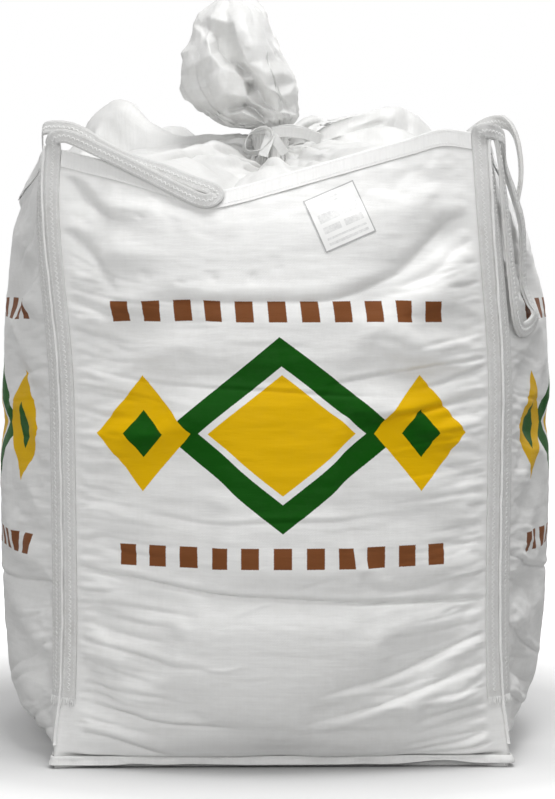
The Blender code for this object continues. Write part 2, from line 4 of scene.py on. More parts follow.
import bmesh
import bpy
import numpy as np
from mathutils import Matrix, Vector
from mathutils.bvhtree import BVHTree
from mathutils.geometry import delaunay_2d_cdt


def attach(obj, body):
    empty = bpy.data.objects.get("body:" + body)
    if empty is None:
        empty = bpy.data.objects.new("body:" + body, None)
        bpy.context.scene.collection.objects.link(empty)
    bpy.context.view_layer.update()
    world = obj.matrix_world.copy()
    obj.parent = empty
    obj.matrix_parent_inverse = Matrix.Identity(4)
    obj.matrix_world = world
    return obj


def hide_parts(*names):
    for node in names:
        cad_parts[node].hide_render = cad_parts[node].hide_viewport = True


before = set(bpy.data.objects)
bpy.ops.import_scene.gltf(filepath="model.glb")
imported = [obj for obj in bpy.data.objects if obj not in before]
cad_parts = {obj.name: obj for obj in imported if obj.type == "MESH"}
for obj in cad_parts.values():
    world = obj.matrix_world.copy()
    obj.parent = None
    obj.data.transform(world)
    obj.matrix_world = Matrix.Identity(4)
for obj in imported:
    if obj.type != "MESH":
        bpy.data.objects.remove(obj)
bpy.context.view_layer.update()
bpy.ops.object.select_all(action="DESELECT")
scene = bpy.context.scene
print("frame loaded")


# Small helpers

def smoothStep(x, low, high):
    t = np.clip((x - low) / (high - low), 0.0, 1.0)
    return t * t * (3 - 2 * t)


def useOnly(thing):
    bpy.ops.object.select_all(action="DESELECT")
    thing.select_set(True)
    bpy.context.view_layer.objects.active = thing


def finishPiece(thing, nodes, material, sharpAngle=None):
    # Rides on the bag, stands for its CAD nodes and takes its material
    thing.data.materials.clear()
    thing.data.materials.append(material)
    useOnly(thing)
    if sharpAngle is None:
        bpy.ops.object.shade_smooth()
    else:
        bpy.ops.object.shade_smooth_by_angle(angle=math.radians(sharpAngle))
    thing.select_set(False)
    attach(thing, "root")
    if nodes:
        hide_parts(*nodes)
    return thing


def meshObject(name, points, faces, uvs=None):
    # uvs holds one (u, v) for every corner of every face, in the faces' order
    mesh = bpy.data.meshes.new(name)
    mesh.from_pydata(np.asarray(points, dtype=float).tolist(), [], faces)
    if uvs is not None:
        layer = mesh.uv_layers.new(name="cloth")
        layer.data.foreach_set("uv", np.asarray(uvs, dtype=np.float32).ravel())
    mesh.validate()
    mesh.update()
    thing = bpy.data.objects.new(name, mesh)
    scene.collection.objects.link(thing)
    return thing


def nodeMesh(nodeName):
    # A copy of a CAD node's mesh with its loose triangles joined
    joined = bmesh.new()
    joined.from_mesh(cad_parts[nodeName].data)
    bmesh.ops.remove_doubles(joined, verts=joined.verts, dist=1e-5)
    joined.verts.ensure_lookup_table()
    return joined


def walkFrom(start):
    # Points by how many edges they lie from the start points
    seen = set(start)
    levels = [list(start)]
    while True:
        ring = []
        for vert in levels[-1]:
            for edge in vert.link_edges:
                other = edge.other_vert(vert)
                if other not in seen:
                    seen.add(other)
                    ring.append(other)
        if not ring:
            return levels
        levels.append(ring)


def ringAngles(points):
    low, high = points.min(axis=0), points.max(axis=0)
    middle, reach = (low + high) / 2, np.maximum((high - low) / 2, 1e-6)
    flat = (points - middle) / reach
    return np.arctan2(flat[:, 1], flat[:, 0])


def nodeRings(nodeName, tip):
    # The closed rings of a node round the vertical, from the point nearest to tip
    joined = nodeMesh(nodeName)
    start = min(joined.verts, key=lambda vert: (vert.co - Vector(tip)).length)
    rings, before = [], None
    for level in walkFrom([start])[1:]:
        points = np.array([vert.co[:] for vert in level])
        if before is not None and len(points) != len(before):
            break
        angles = ringAngles(points)
        order = np.argsort(angles)
        points, angles = points[order], angles[order]
        if before is None:
            shift = int(np.argmin(points[:, 0] + points[:, 1]))
        else:
            apart = [np.abs(np.angle(np.exp(1j * (np.roll(angles, -k) - before)))).sum()
                     for k in range(len(points))]
            shift = int(np.argmin(apart))
        rings.append(np.roll(points, -shift, axis=0))
        before = np.roll(angles, -shift)
    joined.free()
    return np.array(rings)


def nodeRails(nodeName, corners, capNormal, near, reach=0.05):
    # A swept node's sections with matched corners, from the end cap that faces capNormal
    joined = nodeMesh(nodeName)
    cap = set()
    for face in joined.faces:
        if face.normal.dot(Vector(capNormal)) > 0.9:
            if all((vert.co - Vector(near)).length < reach for vert in face.verts):
                cap.update(face.verts)
    cap = sorted(cap, key=lambda vert: vert.index)
    if len(cap) != corners:
        print("cap of", nodeName, "has", len(cap), "corners")
    sections = []
    for level in walkFrom(cap):
        if len(level) != corners:
            break
        points = np.array([vert.co[:] for vert in level])
        if sections:
            orders = [list(order) for order in itertools.permutations(range(corners))]
            costs = [np.linalg.norm(points[order] - sections[-1], axis=1).sum() for order in orders]
            points = points[orders[int(np.argmin(costs))]]
        else:
            # Round the cap in order, seen along its normal
            middle = points.mean(axis=0)
            first = points[0] - middle
            second = np.cross(np.array(capNormal), first)
            angles = [math.atan2((p - middle) @ second, (p - middle) @ first) for p in points]
            points = points[np.argsort(angles)]
        sections.append(points)
    joined.free()
    return np.array(sections)


def chordPlaces(grid):
    # Distance along the first axis, averaged over the second
    steps = np.linalg.norm(np.diff(grid, axis=0), axis=-1)
    while steps.ndim > 1:
        steps = steps.mean(axis=-1)
    return np.concatenate([[0.0], np.cumsum(steps)])


def refine(values, places, fresh):
    # A cubic through the values along the first axis
    shape = (-1,) + (1,) * (values.ndim - 1)
    slopes = np.empty_like(values)
    slopes[1:-1] = (values[2:] - values[:-2]) / (places[2:] - places[:-2]).reshape(shape)
    slopes[0] = (values[1] - values[0]) / (places[1] - places[0])
    slopes[-1] = (values[-1] - values[-2]) / (places[-1] - places[-2])
    k = np.clip(np.searchsorted(places, fresh, side="right") - 1, 0, len(places) - 2)
    span = (places[k + 1] - places[k]).reshape(shape)
    t = ((fresh - places[k]) / (places[k + 1] - places[k])).reshape(shape)
    blend = t * t * (3 - 2 * t)
    bend = slopes[k] * span * t * (1 - t) ** 2 - slopes[k + 1] * span * t * t * (1 - t)
    return values[k] * (1 - blend) + values[k + 1] * blend + bend


def refineRing(grid, cells, spare=0):
    # More columns between each two corners of closed rings, sharp at the corners unless
    # spare columns of the next panels steer the curve; returns the grid, each column's
    # distance from its panel's middle and the last panel's half length
    count = grid.shape[1] // 4
    parts, across = [], []
    for panel in range(4):
        columns = [(panel * count + k) % grid.shape[1] for k in range(-spare, count + 1 + spare)]
        strip = np.moveaxis(grid[:, columns], 1, 0)
        places = chordPlaces(strip)
        start, end = places[spare], places[-1 - spare]
        fresh = np.linspace(start, end, cells + 1)[:-1]
        parts.append(np.moveaxis(refine(strip, places, fresh), 0, 1))
        across.append(fresh - (start + end) / 2)
    return np.concatenate(parts, axis=1), np.concatenate(across), (end - start) / 2


def gridNormals(grid):
    # Outward normals of closed rings stacked upwards
    along = np.roll(grid, -1, axis=1) - np.roll(grid, 1, axis=1)
    up = np.gradient(grid, axis=0)
    normals = np.cross(along, up)
    return normals / np.maximum(np.linalg.norm(normals, axis=-1, keepdims=True), 1e-9)


def ringFaces(rows, columns):
    faces = []
    for row in range(rows - 1):
        low, high = row * columns, (row + 1) * columns
        for k in range(columns):
            after = (k + 1) % columns
            faces.append((low + k, low + after, high + after, high + k))
    return faces


def quadUvs(left, right, low, high):
    return [(left, low), (right, low), (right, high), (left, high)]


def levelled(vectors):
    # Level directions of length 1
    level = vectors * (1, 1, 0)
    return level / np.maximum(np.linalg.norm(level, axis=-1, keepdims=True), 1e-6)


def latticeNoise(u, v, seed):
    # Smooth noise from -1 to 1 over a lattice that repeats after size cells
    size = 64
    lattice = np.random.default_rng(seed).uniform(-1, 1, (size, size))
    iu, iv = np.floor(u).astype(int), np.floor(v).astype(int)
    fu, fv = u - iu, v - iv
    fu, fv = fu * fu * (3 - 2 * fu), fv * fv * (3 - 2 * fv)

    def at(a, b):
        return lattice[a % size, b % size]

    low = at(iu, iv) * (1 - fu) + at(iu + 1, iv) * fu
    high = at(iu, iv + 1) * (1 - fu) + at(iu + 1, iv + 1) * fu
    return low * (1 - fv) + high * fv


def crushed(points, seed, size):
    # Flat facets that meet in sharp ridges and valleys, as in crushed film: about -1 to 1
    chance = np.random.default_rng(seed)
    flat = points.reshape(-1, 3)
    low, high = flat.min(axis=0) - size, flat.max(axis=0) + size
    spans = [np.arange(k) for k in np.ceil((high - low) / size).astype(int)]
    cells = np.stack(np.meshgrid(*spans, indexing="ij"), axis=-1).reshape(-1, 3)
    nearest = []
    for k in range(2):
        seeds = low + (cells + chance.uniform(0, 1, cells.shape)) * size
        best = np.full(len(flat), 1e9)
        for part in np.array_split(seeds, len(seeds) // 100 + 1):
            away = (part ** 2).sum(axis=1) - 2 * flat @ part.T
            best = np.minimum(best, away.min(axis=1))
        nearest.append(best)
    return ((nearest[0] - nearest[1]) / (0.30 * size * size)).reshape(points.shape[:-1])


clothRun = {"frames": 16, "quality": 5, "mass": 0.2, "stiffness": 30, "shear": 12, "airDamping": 2}


def settle(grid, pins, growth, bend, cap):
    thing = meshObject("settling", grid.reshape(-1, 3), ringFaces(*grid.shape[:2]))
    held = thing.vertex_groups.new(name="held")
    for index, weight in enumerate(pins.ravel().tolist()):
        held.add([index], weight, "REPLACE")
    cloth = thing.modifiers.new("cloth", "CLOTH")
    settings = cloth.settings
    settings.quality = clothRun["quality"]
    settings.mass = clothRun["mass"]
    settings.tension_stiffness = settings.compression_stiffness = clothRun["stiffness"]
    settings.shear_stiffness = clothRun["shear"]
    settings.bending_stiffness = bend
    settings.air_damping = clothRun["airDamping"]
    settings.shrink_min = -growth
    settings.vertex_group_mass = "held"
    settings.pin_stiffness = 1.0
    settings.effector_weights.gravity = 0
    cloth.collision_settings.use_collision = False
    cloth.point_cache.frame_start, cloth.point_cache.frame_end = 1, clothRun["frames"]
    for number in range(1, clothRun["frames"] + 1):
        scene.frame_set(number)
    shown = thing.evaluated_get(bpy.context.evaluated_depsgraph_get())
    settled = np.empty(grid.size)
    shown.data.vertices.foreach_get("co", settled)
    scene.frame_set(1)
    bpy.data.objects.remove(thing)
    moves = settled.reshape(grid.shape) - grid
    length = np.linalg.norm(moves, axis=-1, keepdims=True)
    print("settled: mean", round(float(length.mean()), 4), "most", round(float(length.max()), 4))
    return moves * np.minimum(1, cap / np.maximum(length, 1e-9))


def refineMoves(moves, rows, columns):
    # The moves of a coarse grid of closed rings on a finer one
    over = np.linspace(0, len(moves) - 1, rows)
    moves = refine(moves, np.arange(len(moves), dtype=float), over)
    closed = np.moveaxis(np.concatenate([moves[:, -1:], moves, moves[:, :2]], axis=1), 1, 0)
    around = np.linspace(1, moves.shape[1] + 1, columns + 1)[:-1]
    return np.moveaxis(refine(closed, np.arange(len(closed), dtype=float), around), 0, 1)


# Materials

wovenTape = 0.0026  # width of one tape of the woven cloth


def nodeGroup(name, inputs, outputs):
    group = bpy.data.node_groups.new(name, "ShaderNodeTree")
    for socketName, kind, value in inputs:
        socket = group.interface.new_socket(name=socketName, in_out="INPUT", socket_type=kind)
        if value is not None:
            socket.default_value = value
    for socketName, kind in outputs:
        group.interface.new_socket(name=socketName, in_out="OUTPUT", socket_type=kind)
    return group, group.nodes.new("NodeGroupInput"), group.nodes.new("NodeGroupOutput")


def maths(tree):
    # Adds math nodes to one tree; an input is a number or another node's socket
    def do(operation, *values, clamp=False):
        node = tree.nodes.new("ShaderNodeMath")
        node.operation = operation
        node.use_clamp = clamp
        for index, value in enumerate(values):
            if isinstance(value, (int, float)):
                node.inputs[index].default_value = value
            else:
                tree.links.new(value, node.inputs[index])
        return node.outputs[0]
    return do


def separated(tree, vector):
    node = tree.nodes.new("ShaderNodeSeparateXYZ")
    tree.links.new(vector, node.inputs[0])
    return node.outputs[0], node.outputs[1]


def mixColor(tree, factor, a, b, blend="MIX"):
    node = tree.nodes.new("ShaderNodeMix")
    node.data_type = "RGBA"
    node.blend_type = blend
    for socket, value in ((node.inputs[0], factor), (node.inputs[6], a), (node.inputs[7], b)):
        if isinstance(value, (int, float)):
            socket.default_value = value
        elif isinstance(value, tuple):
            socket.default_value = (*value, 1.0)
        else:
            tree.links.new(value, socket)
    return node.outputs[2]


def noiseNode(tree, vector, scale, detail=2.0, roughness=0.5, stretch=None):
    if stretch is not None:
        mapping = tree.nodes.new("ShaderNodeMapping")
        mapping.inputs["Scale"].default_value = stretch
        tree.links.new(vector, mapping.inputs["Vector"])
        vector = mapping.outputs[0]
    noise = tree.nodes.new("ShaderNodeTexNoise")
    noise.inputs["Scale"].default_value = scale
    noise.inputs["Detail"].default_value = detail
    noise.inputs["Roughness"].default_value = roughness
    tree.links.new(vector, noise.inputs["Vector"])
    return noise.outputs["Fac"]


def makeTapeWeave():
    # Plain weave of flat tapes: height, and a tone that follows the tapes
    group, gin, gout = nodeGroup("tapeWeave", [("Vector", "NodeSocketVector", None),
                                               ("Tape Width", "NodeSocketFloat", wovenTape)],
                                 [("Height", "NodeSocketFloat"), ("Tone", "NodeSocketFloat")])
    do = maths(group)
    width = gin.outputs["Tape Width"]
    u, v = [do("DIVIDE", part, width) for part in separated(group, gin.outputs["Vector"])]
    parity = do("FLOORED_MODULO", do("ADD", do("FLOOR", u), do("FLOOR", v)), 2.0)

    def dome(value):
        centred = do("SUBTRACT", do("FRACT", value), 0.5)
        return do("MULTIPLY_ADD", do("MULTIPLY", centred, centred), -3.4, 1.0)

    over = do("MULTIPLY", dome(u), parity)
    under = do("MULTIPLY", dome(v), do("SUBTRACT", 1.0, parity))
    streak = noiseNode(group, gin.outputs["Vector"], 1.0, 1.0, 0.5, (3.0, 210.0, 1.0))
    warp = noiseNode(group, gin.outputs["Vector"], 1.0, 1.0, 0.5, (190.0, 2.5, 1.0))
    tone = do("ADD", do("MULTIPLY", streak, 0.65), do("MULTIPLY", warp, 0.35))
    group.links.new(do("ADD", over, under), gout.inputs["Height"])
    group.links.new(tone, gout.inputs["Tone"])
    return group


def makeDust():
    # Handling marks and dust: 0 where clean
    group, gin, gout = nodeGroup("handlingDust", [("Vector", "NodeSocketVector", None),
                                                  ("Amount", "NodeSocketFloat", 0.5)],
                                 [("Mask", "NodeSocketFloat")])
    do = maths(group)
    broad = noiseNode(group, gin.outputs["Vector"], 5.0, 5.0, 0.62)
    fine = noiseNode(group, gin.outputs["Vector"], 60.0, 3.0, 0.6)
    lifted = do("MULTIPLY_ADD", do("MULTIPLY", broad, fine), 4.0, -0.75, clamp=True)
    group.links.new(do("MULTIPLY", lifted, gin.outputs["Amount"]), gout.inputs["Mask"])
    return group


tapeWeave = makeTapeWeave()
handlingDust = makeDust()


def newMaterial(name, roughness, specular=0.5, sheen=0.0):
    material = bpy.data.materials.new(name)
    material.use_nodes = True
    tree = material.node_tree
    shader = tree.nodes["Principled BSDF"]
    shader.inputs["Roughness"].default_value = roughness
    shader.inputs["Specular IOR Level"].default_value = specular
    if sheen:
        shader.inputs["Sheen Weight"].default_value = sheen
        shader.inputs["Sheen Roughness"].default_value = 0.5
    return material, tree, shader


def coordinate(tree, kind):
    node = tree.nodes.new("ShaderNodeTexCoord")
    return node.outputs[kind]


def placeGroup(tree, group, vector, **values):
    node = tree.nodes.new("ShaderNodeGroup")
    node.node_tree = group
    tree.links.new(vector, node.inputs["Vector"])
    for key, value in values.items():
        node.inputs[key.replace("_", " ")].default_value = value
    return node


def bump(tree, height, strength, distance, normal=None):
    node = tree.nodes.new("ShaderNodeBump")
    node.inputs["Strength"].default_value = strength
    node.inputs["Distance"].default_value = distance
    tree.links.new(height, node.inputs["Height"])
    if normal is not None:
        tree.links.new(normal, node.inputs["Normal"])
    return node.outputs[0]


def toned(tree, base, value, share, rest):
    # A base colour that darkens and lightens with the weave
    tone = maths(tree)("MULTIPLY_ADD", value, share, rest)
    shade = tree.nodes.new("ShaderNodeCombineColor")
    for socket in shade.inputs:
        tree.links.new(tone, socket)
    return mixColor(tree, 1.0, base, shade.outputs[0], "MULTIPLY")


# Ornament printed on each panel, in metres from the panel's middle and the floor. A diamond
# has its place across, half width, half height and tint, with None for bare cloth
ornament = {"middleHeight": 0.655, "ragged": 0.0016, "edge": 900.0,
            "yellow": (0.74, 0.44, 0.0), "green": (0.004, 0.075, 0.002), "brown": (0.19, 0.066, 0.022),
            "diamonds": ((0.0, 0.235, 0.185, "green"), (0.0, 0.165, 0.130, None),
                         (0.0, 0.145, 0.114, "yellow"), (-0.275, 0.095, 0.110, "yellow"),
                         (0.275, 0.095, 0.110, "yellow"), (-0.275, 0.040, 0.046, "green"),
                         (0.275, 0.040, 0.046, "green")),
            "barRows": (0.232, -0.232), "barPitch": 0.0616, "halfBar": 0.017, "halfBarHeight": 0.020,
            "halfRow": 0.339}


def makeOrnament():
    # Nested diamonds between two rows of bars
    group, gin, gout = nodeGroup("panelOrnament", [("Vector", "NodeSocketVector", None),
                                                   ("Cloth", "NodeSocketColor", (0.8, 0.8, 0.8, 1))],
                                 [("Color", "NodeSocketColor"), ("Ink", "NodeSocketFloat")])
    do = maths(group)
    u, height = separated(group, gin.outputs["Vector"])
    v = do("SUBTRACT", height, ornament["middleHeight"])
    noise = noiseNode(group, gin.outputs["Vector"], 420.0, 1.0)
    wobble = do("MULTIPLY_ADD", noise, ornament["ragged"], -ornament["ragged"] / 2)

    def soft(near):
        # 1 inside, with a soft edge of about a millimetre
        return do("MULTIPLY_ADD", do("ADD", near, wobble), ornament["edge"], 0.5, clamp=True)

    def diamond(middle, halfWidth, halfHeight):
        across = do("DIVIDE", do("ABSOLUTE", do("SUBTRACT", u, middle)), halfWidth)
        inside = do("SUBTRACT", 1.0, do("ADD", across, do("DIVIDE", do("ABSOLUTE", v), halfHeight)))
        return soft(do("MULTIPLY", inside, min(halfWidth, halfHeight)))

    def barRow(middle):
        turn = do("FRACT", do("ADD", do("DIVIDE", u, ornament["barPitch"]), 0.5))
        around = do("MULTIPLY", do("ABSOLUTE", do("SUBTRACT", turn, 0.5)), ornament["barPitch"])
        bar = do("SUBTRACT", ornament["halfBar"], around)
        row = do("SUBTRACT", ornament["halfBarHeight"], do("ABSOLUTE", do("SUBTRACT", v, middle)))
        end = do("SUBTRACT", ornament["halfRow"], do("ABSOLUTE", u))
        return soft(do("MINIMUM", do("MINIMUM", bar, row), end))

    shapes = [(diamond(*place), tint) for *place, tint in ornament["diamonds"]]
    shapes += [(barRow(middle), "brown") for middle in ornament["barRows"]]
    color, ink = gin.outputs["Cloth"], None
    for mask, tint in shapes:
        if tint is None:
            color = mixColor(group, mask, color, gin.outputs["Cloth"])
            ink = do("MULTIPLY", ink, do("SUBTRACT", 1.0, mask))
        else:
            color = mixColor(group, mask, color, ornament[tint])
            ink = mask if ink is None else do("MAXIMUM", ink, mask)
    group.links.new(color, gout.inputs["Color"])
    group.links.new(ink, gout.inputs["Ink"])
    return group


clothLook = {"shine": 0.42, "dust": 0.35, "dustColor": (0.50, 0.48, 0.45), "tapeHeight": 0.0005,
             "creases": (14.0, 70.0, 1.0), "creaseStrength": 0.32, "creaseHeight": 0.0035,
             "inkRougher": 0.06, "inkShine": -0.34, "inkDust": -0.32}


def clothMaterial(name, base, printed=False, weaveStrength=0.22, roughness=0.5):
    material, tree, shader = newMaterial(name, roughness, clothLook["shine"])
    do = maths(tree)
    cloth, place = coordinate(tree, "UV"), coordinate(tree, "Object")
    weave = placeGroup(tree, tapeWeave, cloth, Tape_Width=wovenTape)
    dust = placeGroup(tree, handlingDust, place, Amount=0.35)
    plain = toned(tree, base, weave.outputs["Tone"], 0.10, 0.95)
    clean = clothLook["dust"]
    if printed:
        # Ink is a little rougher than the bare cloth and takes less shine and dust
        art = placeGroup(tree, makeOrnament(), cloth)
        tree.links.new(plain, art.inputs["Cloth"])
        plain, ink = art.outputs["Color"], art.outputs["Ink"]
        rough = do("MULTIPLY_ADD", ink, clothLook["inkRougher"], roughness)
        tree.links.new(rough, shader.inputs["Roughness"])
        shine = do("MULTIPLY_ADD", ink, clothLook["inkShine"], clothLook["shine"])
        tree.links.new(shine, shader.inputs["Specular IOR Level"])
        clean = do("MULTIPLY_ADD", ink, clothLook["inkDust"], clothLook["dust"])
    dusty = mixColor(tree, do("MULTIPLY", dust.outputs["Mask"], clean), plain, clothLook["dustColor"])
    tree.links.new(dusty, shader.inputs["Base Color"])
    tapes = bump(tree, weave.outputs["Height"], weaveStrength, clothLook["tapeHeight"])
    creases = noiseNode(tree, cloth, 1.0, 3.0, 0.55, clothLook["creases"])
    soft = bump(tree, creases, clothLook["creaseStrength"], clothLook["creaseHeight"], tapes)
    tree.links.new(soft, shader.inputs["Normal"])
    return material


def webbingMaterial():
    # Ribbed across its length, coarse and matte
    material, tree, shader = newMaterial("greyWebbing", 0.78, 0.3, 0.15)
    cloth, place = coordinate(tree, "UV"), coordinate(tree, "Object")
    weave = placeGroup(tree, tapeWeave, cloth, Tape_Width=0.0022)
    dust = placeGroup(tree, handlingDust, place, Amount=0.6)
    # Painted shade: the colour darkens in the grooves between the tapes and lightens on their crests,
    # following the weave's height
    plain = toned(tree, (0.735, 0.735, 0.725), weave.outputs["Height"], 0.10, 0.93)
    marks = maths(tree)("MULTIPLY", dust.outputs["Mask"], 0.5)
    tree.links.new(mixColor(tree, marks, plain, (0.45, 0.43, 0.40)), shader.inputs["Base Color"])
    ribs = bump(tree, weave.outputs["Height"], 0.7, 0.0007)
    fuzz = bump(tree, noiseNode(tree, place, 90.0, 3.0), 0.25, 0.001, ribs)
    tree.links.new(fuzz, shader.inputs["Normal"])
    return material


def threadMaterial():
    material, tree, shader = newMaterial("whiteThread", 0.6, 0.4, 0.2)
    fibre = noiseNode(tree, coordinate(tree, "Object"), 900.0, 2.0)
    tone = mixColor(tree, fibre, (0.78, 0.78, 0.77), (0.90, 0.90, 0.89))
    tree.links.new(tone, shader.inputs["Base Color"])
    tree.links.new(bump(tree, fibre, 0.4, 0.0004), shader.inputs["Normal"])
    return material


def ribbonMaterial():
    material, tree, shader = newMaterial("satinTape", 0.38, 0.5)
    weave = placeGroup(tree, tapeWeave, coordinate(tree, "UV"), Tape_Width=0.0012)
    tone = toned(tree, (0.80, 0.80, 0.79), weave.outputs["Tone"], 0.16, 0.90)
    tree.links.new(tone, shader.inputs["Base Color"])
    tree.links.new(bump(tree, weave.outputs["Height"], 0.4, 0.0004), shader.inputs["Normal"])
    return material


# Blank fields of the label as shares of its sides: left, right, low, high
labelPrint = {"border": 0.022, "borderGrey": (0.42, 0.42, 0.42), "fieldGrey": (0.45, 0.45, 0.45),
              "film": (0.84, 0.84, 0.83), "fieldStrength": 0.75,
              "fields": ((0.30, 0.62, 0.86, 0.90), (0.25, 0.60, 0.79, 0.82), (0.12, 0.90, 0.50, 0.66),
                         (0.12, 0.46, 0.30, 0.42), (0.54, 0.90, 0.30, 0.42), (0.12, 0.90, 0.18, 0.22),
                         (0.12, 0.90, 0.08, 0.13))}


def labelMaterial():
    # Pale film with a thin grey border and faint blank fields
    material, tree, shader = newMaterial("labelFilm", 0.34, 0.5)
    do = maths(tree)
    place = coordinate(tree, "Object")
    u, v = separated(tree, coordinate(tree, "UV"))
    fromEdges = [do("SUBTRACT", 0.5, do("ABSOLUTE", do("SUBTRACT", part, 0.5))) for part in (u, v)]
    border = do("LESS_THAN", do("MINIMUM", *fromEdges), labelPrint["border"])

    def between(part, low, high):
        return do("MULTIPLY", do("GREATER_THAN", part, low), do("LESS_THAN", part, high))

    marks = None
    for left, right, low, high in labelPrint["fields"]:
        field = do("MULTIPLY", between(u, left, right), between(v, low, high))
        marks = field if marks is None else do("MAXIMUM", marks, field)
    faded = do("MULTIPLY_ADD", noiseNode(tree, place, 160.0, 3.0, 0.7), 1.6, -0.35, clamp=True)
    worn = do("MULTIPLY", do("MULTIPLY", marks, faded), labelPrint["fieldStrength"])
    tinted = mixColor(tree, worn, labelPrint["film"], labelPrint["fieldGrey"])
    framed = mixColor(tree, border, tinted, labelPrint["borderGrey"])
    tree.links.new(framed, shader.inputs["Base Color"])
    tree.links.new(bump(tree, noiseNode(tree, place, 26.0, 3.0), 0.25, 0.003), shader.inputs["Normal"])
    return material


wovenPrinted = clothMaterial("wovenPrinted", (0.80, 0.80, 0.79), printed=True)
wovenPlain = clothMaterial("wovenPlain", (0.75, 0.75, 0.74), roughness=0.42)
hemCloth = clothMaterial("hemCloth", (0.82, 0.82, 0.81), weaveStrength=0.35)
greyWebbing = webbingMaterial()
whiteThread = threadMaterial()
satinTape = ribbonMaterial()
labelFilm = labelMaterial()
print("materials made")


# Sack

# Sags are heights and how far the panel's middle stands out there; the pairs after
# quietAbove, stillBelow, lipEnds and tuckEnds are the heights between which each one fades
sack = {"cells": 112, "rowStep": 0.0031, "fillTop": (-0.015, 0.0, 1.165), "webbingEdge": 0.0355,
        "hem": 0.033, "baseHem": 0.024, "fill": 0.95, "foldDepth": 0.80,
        "simCells": 44, "simRows": 110, "grip": 0.05, "growth": 0.03, "bend": 0.6, "cap": 0.008,
        "quiet": 0.62, "quietAbove": (0.86, 0.98), "stillBelow": (0.05, 0.17), "otherPanels": 0.7,
        "sagReach": (0.045, 0.22), "lip": 0.0080, "lipDrop": 0.0030, "lipEnds": (0.040, 0.085),
        "sideLip": 0.5, "tuck": 0.014, "tuckEnds": (0.025, 0.034),
        "rightSag": ((0.10, 0.20, 0.35, 0.60, 0.80, 0.90), (0.0, -0.010, -0.011, -0.011, -0.006, 0.0)),
        "leftSag": ((0.03, 0.06, 0.10, 0.14, 0.20, 0.30, 0.50, 0.70, 0.84, 0.92, 1.00, 1.08, 1.15),
                    (0.0, 0.020, 0.024, 0.017, 0.007, 0.003, 0.001, 0.0, -0.008, -0.013, -0.016,
                     -0.012, 0.0))}

